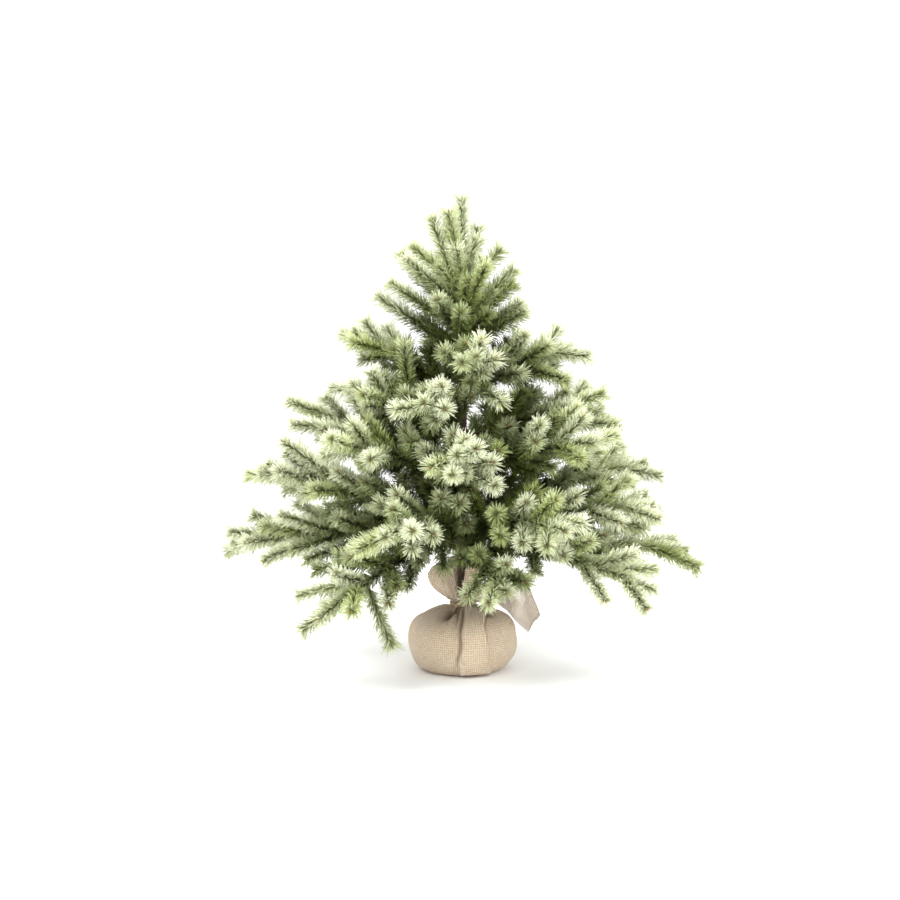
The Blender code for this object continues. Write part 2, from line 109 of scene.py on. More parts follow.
def stem_line(root, tip, arch):
    """A branch's main wire from root to tip as straight stretches, lifted by arch in the middle."""
    line = []
    for k in range(STRETCHES + 1):
        share = k / STRETCHES
        line.append(root.lerp(tip, share) + Vector((0, 0, arch * 4 * share * (1 - share))))
    return line


def point_on(line, share):
    """The point and direction at that share of a line of equal stretches."""
    at = share * (len(line) - 1)
    n = min(int(at), len(line) - 2)
    return line[n].lerp(line[n + 1], at - n), (line[n + 1] - line[n]).normalized()


def side_twigs(line, count, chance, taken):
    """Side twigs alternate left and right along the stem, each turned and shortened until it runs clear."""
    reach = (line[-1] - line[0]).length
    found = []
    for k in range(count):
        share = INNER_TWIG + (OUTER_TWIG - INNER_TWIG) * k / (count - 1)
        start, along = point_on(line, share)
        left = Vector((0, 0, 1)).cross(along).normalized() * (-1 if k % 2 else 1)
        up = along.cross(left).normalized()
        full = (0.034 + 0.21 * reach) * (1.15 - 0.55 * share) * chance.uniform(0.93, 1.07)
        for attempt in range(TWIG_TRIES):
            loose = attempt / TWIG_TRIES
            spread = math.radians(44 - 12 * share + chance.uniform(-5, 5) * (1 + 4 * loose))
            lean = math.radians((14, -12, -8, 16, 4)[k % 5] + chance.uniform(-4, 4) * (1 + 9 * loose))
            heading = along * math.cos(spread) + left * math.sin(spread)
            heading = (heading * math.cos(lean) + up * math.sin(lean)).normalized()
            end = start + heading * full * (1 - 0.45 * loose)
            if runs_clear(start, end, SLEEVE_RADIUS, taken):
                found.append((start, end))
                break
    return found


def between(p, q, starts, ends):
    """The distances between the stretch from p to q and each of the stretches from starts to ends."""
    d, others, apart = q - p, ends - starts, p - starts
    a, e, f = d @ d, (others * others).sum(axis=1), (others * apart).sum(axis=1)
    c, b = apart @ d, others @ d
    wide = np.maximum(a * e - b * b, 1e-12)
    s = np.clip((b * f - c * e) / wide, 0, 1)
    t = np.clip((b * s + f) / e, 0, 1)
    s = np.clip((b * t - c) / a, 0, 1)
    return np.linalg.norm(apart + s[:, None] * d - t[:, None] * others, axis=1)


def runs_clear(start, end, radius, taken):
    """Whether a sleeve of this radius misses every stretch of the branches made so far."""
    starts, ends, radii = (np.array(column) for column in zip(*taken))
    return bool((between(np.array(start), np.array(end), starts, ends) - radii > radius + GAP).all())


def stretches(line, twigs):
    """A branch as (start, end, radius) stretches: bare wire near its root, and needles beyond."""
    made = [(tuple(a), tuple(b), SLEEVE_RADIUS if k else STEM_RADIUS + 0.002)
            for k, (a, b) in enumerate(zip(line, line[1:]))]
    return made + [(tuple(a), tuple(b), SLEEVE_RADIUS) for a, b in twigs]


def branches():
    """(name, main line, side twigs) for every branch, from the lowest up."""
    planned = []
    out = COLLAR_RADIUS + STEM_RADIUS + GAP
    for tier, height, limbs in TIERS:
        for k, (azimuth, reach, top) in enumerate(limbs):
            number = len(planned) + 1
            root = polar(out, azimuth, height + ROOT_STEP * (k * 3 % len(limbs)))
            line = stem_line(root, polar(reach, azimuth, top), ARCH * reach)
            planned.append((f"branch_{number:02d}", line, SIDE_TWIGS[tier]))
    made = []
    for number, (name, line, count) in enumerate(planned):
        taken = leaf_stretches() + crown_stretches()
        taken += [piece for _, other, _ in planned[number + 1:] for piece in stretches(other, [])]
        taken += [piece for _, other, grown in made for piece in stretches(other, grown)]
        twigs = side_twigs(line, count, random.Random(100 + number), taken)
        made.append((name, line, twigs))
    return made


def leaf_at(azimuth):
    """The cloth's length above the tie at this azimuth, and how it rises and droops there."""
    length, rise, droop, weight = LEAF_FLOOR, 0.0, 0.0, 0.0
    for middle, width, long, up, over in LEAVES:
        apart = abs((azimuth - middle + 180) % 360 - 180) / width
        share = math.exp(-2.2 * apart * apart)
        length = max(length, LEAF_FLOOR + (long - LEAF_FLOOR) * share)
        near = 1 / (0.05 + apart * apart)
        rise, droop, weight = rise + up * near, droop + over * near * min(1, share * 1.4), weight + near
    return length, rise / weight, droop / weight


def leaf_column(azimuth):
    """Points up the cloth above the neck at this azimuth."""
    length, rise, droop = leaf_at(azimuth)
    radius, height, column = NECK_RADIUS, NECK_HEIGHT + NECK_HALF, []
    for n in range(LEAF_STEPS):
        slope = math.radians(rise) - droop * (n + 0.5) / LEAF_STEPS
        radius += length / LEAF_STEPS * math.cos(slope)
        height += length / LEAF_STEPS * math.sin(slope)
        column.append(polar(radius, azimuth, height))
    return column


def crown_twigs():
    """The root and the tip of each of the crown's side twigs."""
    return [(polar(CROWN_TWIG_ROOT, azimuth, low), polar(reach, azimuth, high))
            for azimuth, low, reach, high in CROWN]


def crown_stretches():
    """The crown as stretches that the branches keep clear of: its twigs and the needles round its hub."""
    made = [(tuple(start), tuple(end), SLEEVE_RADIUS) for start, end in crown_twigs()]
    return made + [((0, 0, CROWN_FOOT), (0, 0, CROWN_HEAD), CROWN_CORE)]


def leaf_stretches():
    """The burlap's leaves as stretches that the branches keep clear of."""
    made = []
    for azimuth, width, *_ in LEAVES:
        for turn in (-0.4, 0, 0.4):
            column = leaf_column(azimuth + turn * width)
            made += [(tuple(a), tuple(b), LEAF_ROOM) for a, b in zip(column, column[1:])]
    return made


# ---------------------------------------------------------------- shader maths
class Value:
    """A number that a node gives, for use in Python sums."""

    def __init__(self, tree, socket):
        self.tree, self.socket = tree, socket

    def maths(self, operation, *values, clamp=False):
        node = self.tree.nodes.new("ShaderNodeMath")
        node.operation = operation
        node.use_clamp = clamp
        for slot, value in zip(node.inputs, values):
            if isinstance(value, Value):
                self.tree.links.new(value.socket, slot)
            else:
                slot.default_value = value
        return Value(self.tree, node.outputs[0])

    def __add__(self, other):
        return self.maths("ADD", self, other)

    def __radd__(self, other):
        return self.maths("ADD", other, self)

    def __sub__(self, other):
        return self.maths("SUBTRACT", self, other)

    def __rsub__(self, other):
        return self.maths("SUBTRACT", other, self)

    def __mul__(self, other):
        return self.maths("MULTIPLY", self, other)

    def __rmul__(self, other):
        return self.maths("MULTIPLY", other, self)

    def __truediv__(self, other):
        return self.maths("DIVIDE", self, other)

    def __gt__(self, other):
        return self.maths("GREATER_THAN", self, other)

    def power(self, other):
        return self.maths("POWER", self, other)

    def sine(self):
        return self.maths("SINE", self)

    def absolute(self):
        return self.maths("ABSOLUTE", self)

    def held(self):
        """Kept between 0 and 1."""
        return self.maths("ADD", self, 0.0, clamp=True)

    def over(self, low, high):
        """0 below low, 1 above high, and even between."""
        return ((self - low) / (high - low)).held()


class Finish:
    """A material whose Principled shader is being wired."""

    def __init__(self, name, roughness=0.6, **uniform):
        self.material = bpy.data.materials.new(name)
        self.material.use_nodes = True
        self.tree = self.material.node_tree
        self.shader = self.tree.nodes["Principled BSDF"]
        self.shader.inputs["Roughness"].default_value = roughness
        for socket, value in uniform.items():
            self.shader.inputs[socket.replace("_", " ")].default_value = value

    def node(self, kind, settings=None, values=None):
        """A node with its settings, then the values or links of its sockets."""
        made = self.tree.nodes.new(kind)
        for name, value in (settings or {}).items():
            if name == "stops":
                ramp = made.color_ramp
                while len(ramp.elements) < len(value):
                    ramp.elements.new(0.5)
                for element, (place, colour) in zip(ramp.elements, value):
                    element.position = place
                    element.color = (*colour, 1)
            else:
                setattr(made, name, value)
        for name, value in (values or {}).items():
            if isinstance(value, Value):
                self.tree.links.new(value.socket, made.inputs[name])
            else:
                made.inputs[name].default_value = value
        return made

    def get(self, kind, output, settings=None, values=None):
        return Value(self.tree, self.node(kind, settings, values).outputs[output])

    def place(self):
        return self.get("ShaderNodeTexCoord", "Object")

    def uv(self):
        return self.get("ShaderNodeTexCoord", "UV")

    def noise(self, where, scale, detail=3.0, roughness=0.5):
        return self.get("ShaderNodeTexNoise", "Fac", None, {
            "Vector": where, "Scale": scale, "Detail": detail, "Roughness": roughness})

    def drawn_out(self, where, scales, detail=3.0, roughness=0.5):
        """Noise with its own scale along each axis."""
        spread = self.get("ShaderNodeMapping", "Vector", None, {"Vector": where, "Scale": Vector(scales)})
        return self.noise(spread, 1.0, detail, roughness)

    def mixed(self, share, first, second):
        """The colour from first to second, where either may be a colour or a link."""
        node = self.tree.nodes.new("ShaderNodeMix")
        node.data_type = "RGBA"
        for slot, value in ((0, share), (6, first), (7, second)):
            if isinstance(value, Value):
                self.tree.links.new(value.socket, node.inputs[slot])
            else:
                node.inputs[slot].default_value = (*value, 1) if slot else value
        return Value(self.tree, node.outputs[2])

    def ramp(self, share, *stops):
        return self.get("ShaderNodeValToRGB", "Color", {"stops": stops}, {"Fac": share})

    def split(self, colour):
        node = self.node("ShaderNodeSeparateColor", None, {"Color": colour})
        return [Value(self.tree, output) for output in node.outputs[:3]]

    def axes(self, where):
        node = self.node("ShaderNodeSeparateXYZ", None, {"Vector": where})
        return [Value(self.tree, output) for output in node.outputs[:3]]

    def set(self, socket, value):
        self.tree.links.new(value.socket, self.shader.inputs[socket])

    def bump(self, height, distance, strength=1.0):
        self.set("Normal", self.get("ShaderNodeBump", "Normal", None, {
            "Height": height, "Distance": distance, "Strength": strength}))


# ---------------------------------------------------------------- materials
# Colours by tone, which holds each twig's own tone and painted shade: dark for needles deep inside near the
# trunk, bright for the ones outside.
NEEDLE_GREENS = ((0.0, (0.056, 0.082, 0.010)), (0.4, (0.185, 0.260, 0.026)), (1.0, (0.54, 0.65, 0.14)))
FROST_WHITES = ((0.62, 0.66, 0.42), (0.89, 0.90, 0.73))
OLIVE_FOOT = (0.15, 0.15, 0.04)
# Colours of the jute by how light its fibres are.
JUTE_TANS = ((0.30, (0.56, 0.41, 0.27)), (0.52, (0.80, 0.65, 0.48)), (0.75, (0.95, 0.85, 0.70)))
TWINE_TANS = ((0.3, (0.28, 0.19, 0.115)), (0.55, (0.52, 0.40, 0.27)), (0.8, (0.74, 0.62, 0.46)))


def needle_finish():
    """Cut plastic needles: olive at the wire, green along, and frosted pale towards the tips."""
    f = Finish("frosted_needle", 0.55, Specular_IOR_Level=0.35)
    along, tone, frost = f.split(f.get("ShaderNodeAttribute", "Color", {"attribute_name": "needle"}))
    speck = f.noise(f.place(), 700.0, 2.0)
    # tone carries each twig's own tone and the painted shade deep inside the tree
    green = f.ramp(tone, *NEEDLE_GREENS)
    green = f.mixed((1 - along) * 0.45, green, OLIVE_FOOT)
    white = f.mixed(tone, *FROST_WHITES)
    cover = (along * 0.80 + 0.20) * frost * (speck * 0.8 + 0.70)
    f.set("Base Color", f.mixed(cover.held(), green, white))
    f.set("Roughness", cover.held() * 0.3 + 0.5)
    return f.material


def tape_finish(name, dark, light, scale):
    """Crinkled paper tape wound round a wire."""
    f = Finish(name, 0.8)
    crease = f.noise(f.place(), scale, 4.0, 0.6)
    f.set("Base Color", f.mixed(crease.over(0.35, 0.7), dark, light))
    f.bump(crease, 0.0006, 0.6)
    return f.material


def bud_finish():
    f = Finish("twig_bud", 0.6)
    grain = f.noise(f.place(), 500.0, 2.0)
    f.set("Base Color", f.mixed(grain.over(0.3, 0.7), (0.15, 0.085, 0.04), (0.40, 0.27, 0.14)))
    f.bump(grain, 0.0003, 0.5)
    return f.material


def burlap_finish():
    """Coarse plain-woven jute on the cloth's own UV map, in metres, with open holes where it is lacy."""
    f = Finish("burlap_weave", 0.95, Specular_IOR_Level=0.15, Sheen_Weight=0.25, Sheen_Roughness=0.6)
    where = f.uv()
    drift = f.noise(where, 55.0, 2.0) * 0.9 + f.noise(where, 260.0, 2.0) * 0.35
    u, v, _ = f.axes(where)
    lacy, shade, pale = f.split(f.get("ShaderNodeAttribute", "Color", {"attribute_name": "cloth"}))
    a = (u / JUTE_PITCH + drift) * math.pi
    b = (v / JUTE_PITCH + drift * 0.8) * math.pi
    warp, weft = a.sine(), b.sine()
    over = (warp * weft * 2.5 + 0.5).held()
    warp_yarn, weft_yarn = warp.absolute().power(0.7), weft.absolute().power(0.7)
    height = over * warp_yarn + (1 - over) * weft_yarn
    warp_slub = f.drawn_out(where, (1400, 90, 1), 2.0)
    weft_slub = f.drawn_out(where, (90, 1400, 1), 2.0)
    yarn = over * warp_slub + (1 - over) * weft_slub
    patch = f.noise(where, 38.0, 3.0)
    tan = f.ramp(yarn, *JUTE_TANS)
    tan = f.mixed(patch.over(0.4, 0.8) * 0.4, tan, (0.78, 0.55, 0.34))
    tan = f.mixed(pale * 0.65, tan, (0.98, 0.89, 0.79))
    # painted shade in the gaps between the yarns, lighter where the cloth is lacy or pale
    yarn_gap_shade = (1 - height.over(0.15, 0.75)) * (0.8 - lacy * 0.5 - pale * 0.25)
    colour = f.mixed(yarn_gap_shade, tan, (0.26, 0.165, 0.09))
    f.set("Base Color", f.mixed(shade, (0.16, 0.095, 0.05), colour))
    f.bump(height * 0.8 + yarn * 0.4, 0.0018, 1.0)
    hole = (1 - (warp_yarn + weft_yarn).over(1.10, 1.25)) * (lacy > 0.4)
    f.set("Alpha", 1 - hole)
    return f.material


def twine_finish():
    f = Finish("jute_twine", 0.9, Specular_IOR_Level=0.15)
    fibre = f.noise(f.place(), 900.0, 4.0, 0.65)
    f.set("Base Color", f.ramp(fibre, *TWINE_TANS))
    f.bump(fibre, 0.0006, 0.8)
    return f.material


def cement_finish():
    """Poured grey cement with sand grains and small air pits."""
    f = Finish("cast_cement", 0.92)
    sand = f.noise(f.place(), 900.0, 3.0, 0.7)
    cloud = f.noise(f.place(), 28.0, 4.0)
    pits = f.get("ShaderNodeTexVoronoi", "Distance", None, {"Vector": f.place(), "Scale": 180.0})
    pit = 1 - pits.over(0.10, 0.24)
    grey = f.mixed(cloud.over(0.3, 0.7), (0.33, 0.32, 0.30), (0.50, 0.49, 0.46))
    grey = f.mixed(sand.over(0.45, 0.75) * 0.4, grey, (0.62, 0.60, 0.56))
    # painted shade in the air pits
    f.set("Base Color", f.mixed(pit * 0.7, grey, (0.14, 0.135, 0.13)))
    f.bump(sand * 0.3 - pit, 0.0008, 0.8)
    return f.material


def cup_finish():
    """Thin moulded plastic with fine grain and scuffs."""
    f = Finish("moulded_cup", 0.45)
    grain = f.noise(f.place(), 1400.0, 2.0)
    scuff = f.drawn_out(f.place(), (60, 60, 700), 4.0).over(0.62, 0.75)
    f.set("Base Color", f.mixed(scuff, (0.022, 0.022, 0.024), (0.085, 0.085, 0.088)))
    f.set("Roughness", scuff * 0.25 + grain * 0.1 + 0.38)
    f.bump(grain, 0.0002, 0.4)
    return f.material


def pole_finish():
    """Bright drawn steel, with lines along its length and a few specks of rust."""
    f = Finish("drawn_steel", 0.35, Metallic=1.0)
    lines = f.drawn_out(f.place(), (2500, 2500, 12))
    rust = f.noise(f.place(), 120.0, 5.0, 0.7).over(0.66, 0.74)
    steel = f.mixed(lines.over(0.3, 0.7), (0.44, 0.44, 0.45), (0.66, 0.66, 0.67))
    f.set("Base Color", f.mixed(rust, steel, (0.22, 0.09, 0.04)))
    f.set("Metallic", 1 - rust)
    f.set("Roughness", lines * 0.2 + rust * 0.4 + 0.25)
    f.bump(lines, 0.0002, 0.3)
    return f.material


def trunk_finish():
    """Brown crepe tape with fine crinkles across it and paler blotches."""
    f = Finish("trunk_tape", 0.82, Specular_IOR_Level=0.3)
    crinkle = f.drawn_out(f.place(), (500, 500, 1500), 4.0, 0.6)
    blotch = f.noise(f.place(), 90.0, 3.0)
    brown = f.mixed(crinkle.over(0.3, 0.7), (0.026, 0.016, 0.010), (0.085, 0.052, 0.032))
    f.set("Base Color", f.mixed(blotch.over(0.5, 0.8) * 0.5, brown, (0.13, 0.09, 0.06)))
    f.bump(crinkle, 0.0007, 0.7)
    return f.material


def floor_finish():
    f = Finish("studio_floor", 0.9)
    f.shader.inputs["Base Color"].default_value = (0.93, 0.93, 0.93, 1)
    return f.material


# ---------------------------------------------------------------- modelling helpers
def eased(x, low, high):
    """0 below low, 1 above high, and smooth between."""
    t = np.clip((x - low) / (high - low), 0, 1)
    return t * t * (3 - 2 * t)


def deselect():
    bpy.ops.object.select_all(action="DESELECT")


def pick(made):
    deselect()
    made.select_set(True)
    bpy.context.view_layer.objects.active = made


def added(name):
    """The object that an operator has just made, named."""
    made = bpy.context.object
    made.name = made.data.name = name
    return made


def needle_model():
    """One needle, one unit wide and long: three-sided, and cut off blunt where it is a little thinner."""
    deselect()
    bpy.ops.mesh.primitive_cone_add(vertices=3, radius1=0.5, radius2=0.28, depth=1, location=(0, 0, 0.5))
    return taken_apart(added("needle_model"))


def bud_model():
    """One bud, one unit wide and long, blunt below and pointed above."""
    deselect()
    bpy.ops.mesh.primitive_uv_sphere_add(segments=6, ring_count=5, radius=0.5, location=(0, 0, 0.5))
    made = added("bud_model")
    bpy.ops.object.mode_set(mode="EDIT")
    bpy.ops.mesh.select_all(action="DESELECT")
    bm = bmesh.from_edit_mesh(made.data)
    for vert in bm.verts:
        vert.select_set(vert.co.z > 0.9)
    bm.select_flush(True)
    bmesh.update_edit_mesh(made.data)
    bpy.ops.transform.translate(value=(0, 0, 0.25))
    bpy.ops.object.mode_set(mode="OBJECT")
    return taken_apart(made)


def taken_apart(made):
    """A model's points and faces, for copying, and the model itself is put away."""
    points = np.array([made.matrix_world @ v.co for v in made.data.vertices])
    faces = [tuple(p.vertices) for p in made.data.polygons]
    mesh = made.data
    bpy.data.objects.remove(made)
    bpy.data.meshes.remove(mesh)
    return points, faces


def copies(model, origins, fronts, lengths, widths, bends):
    """Points and faces of a model copied along fronts, each copy with its own length, width and bend."""
    points, faces = model
    count = len(origins)
    fronts = fronts / np.linalg.norm(fronts, axis=1)[:, None]
    helper = np.where(np.abs(fronts[:, 2:3]) < 0.9, np.array([[0, 0, 1.0]]), np.array([[1.0, 0, 0]]))
    sides = np.cross(fronts, helper)
    sides /= np.linalg.norm(sides, axis=1)[:, None]
    others = np.cross(fronts, sides)
    x, y, z = (points[:, axis][None, :, None] for axis in range(3))
    width, length = widths[:, None, None], lengths[:, None, None]
    placed = origins[:, None] + x * width * sides[:, None] + y * width * others[:, None]
    placed = placed + z * length * fronts[:, None] + z * z * bends[:, None]
    corners = np.concatenate([np.array(face) for face in faces])
    sizes = np.array([len(face) for face in faces])
    shift = np.arange(count)[:, None] * len(points)
    return placed.reshape(-1, 3), (corners[None] + shift).ravel(), np.tile(sizes, count)


def mesh_piece(name, points, corners, sizes, finish):
    """A piece from points, the faces' corners one after another, and how many corners each face has."""
    mesh = bpy.data.meshes.new(name)
    mesh.vertices.add(len(points))
    mesh.vertices.foreach_set("co", np.ascontiguousarray(points, np.float32).ravel())
    mesh.loops.add(len(corners))
    mesh.loops.foreach_set("vertex_index", np.ascontiguousarray(corners, np.int32))
    mesh.polygons.add(len(sizes))
    starts = np.concatenate([[0], np.cumsum(sizes)[:-1]]).astype(np.int32)
    mesh.polygons.foreach_set("loop_start", starts)
    mesh.update(calc_edges=True)
    mesh.validate()
    mesh.shade_smooth()
    mesh.materials.append(finish)
    made = bpy.data.objects.new(name, mesh)
    bpy.context.scene.collection.objects.link(made)
    return made


# ---------------------------------------------------------------- branches
NEEDLE_LENGTH = 0.0160
NEEDLE_WIDTH = 0.00100
NEEDLE_LEAN, LEAN_SPREAD = 62, 9        # degrees from the wire
GOLDEN = math.pi * (3 - math.sqrt(5))   # each needle's turn from the one before
NEEDLES_PER_M = 6700
END_STRETCH = 0.012                     # where a twig's needles shorten at its foot and close up at its tip
STAR_NEEDLES = 38                       # more of them round a twig's tip
STAR_DEPTH = 0.003
STAR_LEAN, STAR_FAN = 30, 45
TWIG_FROST, TWIG_TONE = (0.15, 1.05), (-0.25, 0.3)
MAIN_THICK, FILL_THICK, FILL_THIN = 1.15, 0.9, 0.7      # shares of a side twig's radius


def outerness(points):
    """0 near the trunk and 1 at the tree's outer cone, where the frosting is thick; it also paints the
    needles darker towards the trunk as painted shade.
    """
    cone = np.clip(0.285 - 0.51 * (points[:, 2] - 0.10), 0.035, 0.25)
    return np.maximum(eased(np.hypot(points[:, 0], points[:, 1]) / cone, 0.34, 0.98),
                      0.76 * eased(points[:, 2], 0.405, 0.53))


class Garland:
    """The needles of one branch, gathered twig by twig."""

    def __init__(self, seed):
        self.chance = np.random.default_rng(seed)
        self.rows = []

    def twig(self, start, end, frost, tone, bare=0.0, size=1.0, dense=1.0, star=True):
        """Needles spiral round the wire from start to end, leaning forwards, and make a star at its end."""
        start, end = np.array(start), np.array(end)
        length = float(np.linalg.norm(end - start))
        way = (end - start) / length
        side = np.cross(way, (0, 0, 1.0) if abs(way[2]) < 0.9 else (1.0, 0, 0))
        side /= np.linalg.norm(side)
        other = np.cross(way, side)
        roll = self.chance
        count = int(length * (1 - bare) * NEEDLES_PER_M * dense)
        share = bare + (1 - bare) * (np.arange(count) + roll.random(count)) / max(count, 1)
        lean = np.radians(NEEDLE_LEAN + LEAN_SPREAD * roll.standard_normal(count))
        lean *= 1 - 0.10 * np.clip((share * length - (length - END_STRETCH)) / END_STRETCH, 0, 1)
        if star:  # more needles fan out round the very tip
            extra = int(STAR_NEEDLES * size)
            share = np.concatenate([share, 1 - roll.random(extra) * STAR_DEPTH / length])
            lean = np.concatenate([lean, np.radians(STAR_LEAN + STAR_FAN * np.sqrt(roll.random(extra)))])
        total = len(share)
        turn = np.arange(total) * GOLDEN + roll.random(total) * 1.2
        out = np.cos(turn)[:, None] * side + np.sin(turn)[:, None] * other
        fronts = np.cos(lean)[:, None] * way + np.sin(lean)[:, None] * out
        origins = start + way * (share * length)[:, None] + out * TWIG_RADIUS * 0.6
        lengths = NEEDLE_LENGTH * size * (0.88 + 0.13 * roll.standard_normal(total)).clip(0.6, 1.08)
        lengths *= 0.75 + 0.25 * np.clip((share - bare) * length / END_STRETCH, 0, 1)
        lengths *= 1 - 0.22 * np.clip(np.cos(lean) - 0.6, 0, 0.4) / 0.4
        bends = -out * 0.0010 + way * 0.0026 + roll.standard_normal((total, 3)) * 0.0011
        outer = outerness(origins)
        # painted shade: needles towards the trunk get a darker tone, as the tree's inside lies in shade
        tones_and_inner_shade = np.clip(tone + 0.75 * (outer - 0.62) + 0.20 * roll.standard_normal(total), 0, 1)
        uneven = 0.95 + 0.22 * roll.standard_normal(total)
        frosts = (0.02 + 1.12 * outer) * (0.15 + 1.30 * frost) * uneven
        frosts = np.clip(frosts * (0.50 + 0.50 * share) * (0.95 + 0.20 * fronts[:, 2]), 0, 1)
        self.rows.append((origins, fronts, lengths, bends, tones_and_inner_shade, frosts))

    def piece(self, name, model, finish):
        """All the needles as one mesh, with how far along, how bright and how frosted each point is."""
        origins, fronts, lengths, bends, tones_and_inner_shade, frosts = (
            np.concatenate(column) for column in zip(*self.rows))
        widths = NEEDLE_WIDTH * (0.85 + 0.3 * self.chance.random(len(lengths)))
        made = mesh_piece(name, *copies(model, origins, fronts, lengths, widths, bends), finish)
        points = len(model[0])
        colours = np.ones((len(origins), points, 4), np.float32)
        colours[:, :, 0] = model[0][:, 2].clip(0, 1)
        colours[:, :, 1] = tones_and_inner_shade[:, None]
        colours[:, :, 2] = frosts[:, None]
        layer = made.data.attributes.new("needle", "FLOAT_COLOR", "POINT")
        layer.data.foreach_set("color", colours.ravel())
        return made


TWIST_STEP = 0.85       # the oval's turn from one ring to the next, in radians


def wire_mesh(lines, sides=6, step=0.0022):
    """Twisted wires from (points, radius at the start, radius at the end), their oval section turning."""
    points, corners, sizes = [], [], []
    for line, thick, thin in lines:
        line = [np.array(p) for p in line]
        legs = [np.linalg.norm(b - a) for a, b in zip(line, line[1:])]
        whole = sum(legs)
        rings = max(2, int(whole / step))
        across = None
        first = len(points)
        for n in range(rings + 1):
            at, leg = whole * n / rings, 0
            while leg < len(legs) - 1 and at > legs[leg]:
                at -= legs[leg]
                leg += 1
            way = (line[leg + 1] - line[leg]) / legs[leg]
            middle = line[leg] + way * at
            if across is None:
                across = np.cross(way, (0, 0, 1.0) if abs(way[2]) < 0.9 else (1.0, 0, 0))
            across = across - way * (across @ way)
            across /= np.linalg.norm(across)
            other = np.cross(way, across)
            radius = thick + (thin - thick) * n / rings
            twist = n * TWIST_STEP
            for k in range(sides):
                a = 2 * math.pi * k / sides
                swell = radius * (0.80 + 0.26 * math.cos(2 * (a - twist)))
                points.append(middle + swell * (math.cos(a) * across + math.sin(a) * other))
        for n in range(rings):
            low, high = first + n * sides, first + (n + 1) * sides
            for k in range(sides):
                nxt = (k + 1) % sides
                corners += [low + k, low + nxt, high + nxt, high + k]
                sizes.append(4)
        corners += [first + k for k in reversed(range(sides))]
        corners += [first + rings * sides + k for k in range(sides)]
        sizes += [sides, sides]
    return np.array(points), np.array(corners), np.array(sizes)


def shoot(start, end, share, spread, turn, length):
    """A small twig that leaves the wire from start to end at that share, spread degrees off its way."""
    way = (end - start).normalized()
    side = way.cross(Vector((0, 0, 1)) if abs(way.z) < 0.9 else Vector((1, 0, 0))).normalized()
    other = side.cross(way)  # points up, where the wire lies flat
    out = math.cos(turn) * side + math.sin(turn) * other
    foot = start.lerp(end, share)
    heading = way * math.cos(math.radians(spread)) + out * math.sin(math.radians(spread))
    return foot, foot + heading.normalized() * length


def build_branch(number, name, line, twigs, models, finishes):
    """A branch's needles, its twisted wires and the buds at their ends."""
    chance = random.Random(500 + number)
    garland = Garland(900 + number)
    reach = (line[-1] - line[0]).length
    wires = [([tuple(p) for p in line], STEM_RADIUS, MAIN_THICK * TWIG_RADIUS)]
    ends = [(line[-1], line[-1] - line[-2])]
    for k, (a, b) in enumerate(zip(line, line[1:])):
        garland.twig(a, b, 0.60, 0.40, bare=0.45 if k == 0 else 0.0, dense=0.85, star=k == STRETCHES - 1)
    for start, end in twigs:
        wires.append(([tuple(start), tuple(end)], MAIN_THICK * TWIG_RADIUS, TWIG_RADIUS))
        ends.append((end, end - start))
        frost, tone = chance.uniform(*TWIG_FROST), 0.45 + chance.uniform(*TWIG_TONE)
        garland.twig(start, end, frost, tone)
    for start, end in filling_shoots(number, name, line, reach, chance):
        wires.append(([tuple(start), tuple(end)], FILL_THICK * TWIG_RADIUS, FILL_THIN * TWIG_RADIUS))
        ends.append((end, end - start))
        frost, tone = chance.uniform(*TWIG_FROST), 0.45 + chance.uniform(*TWIG_TONE)
        garland.twig(start, end, frost, tone, bare=0.08, size=0.97)
    needles = garland.piece(f"{name}_foliage", models["needle"], finishes["needle"])
    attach(needles, name)
    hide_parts(f"{name}_needles")
    twisted = mesh_piece(f"{name}_twisted_wire", *wire_mesh(wires), finishes["wire"])
    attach(twisted, name)
    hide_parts(f"{name}_wire")
    buds = bud_piece(f"{name}_buds", ends, models["bud"], finishes["bud"], chance)
    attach(buds, name)


# Shoots that stand above and below a branch's main wire: the share along it, the spread and the turn in
# degrees, and the length as a share of the branch's reach.
SHOOTS = (
    (0.12, 52, 95, 0.19), (0.18, 46, 60, 0.20), (0.24, 42, 250, 0.16), (0.32, 38, 120, 0.22),
    (0.42, 34, 290, 0.16), (0.50, 34, 70, 0.20), (0.60, 32, 235, 0.15), (0.68, 32, 105, 0.17),
)
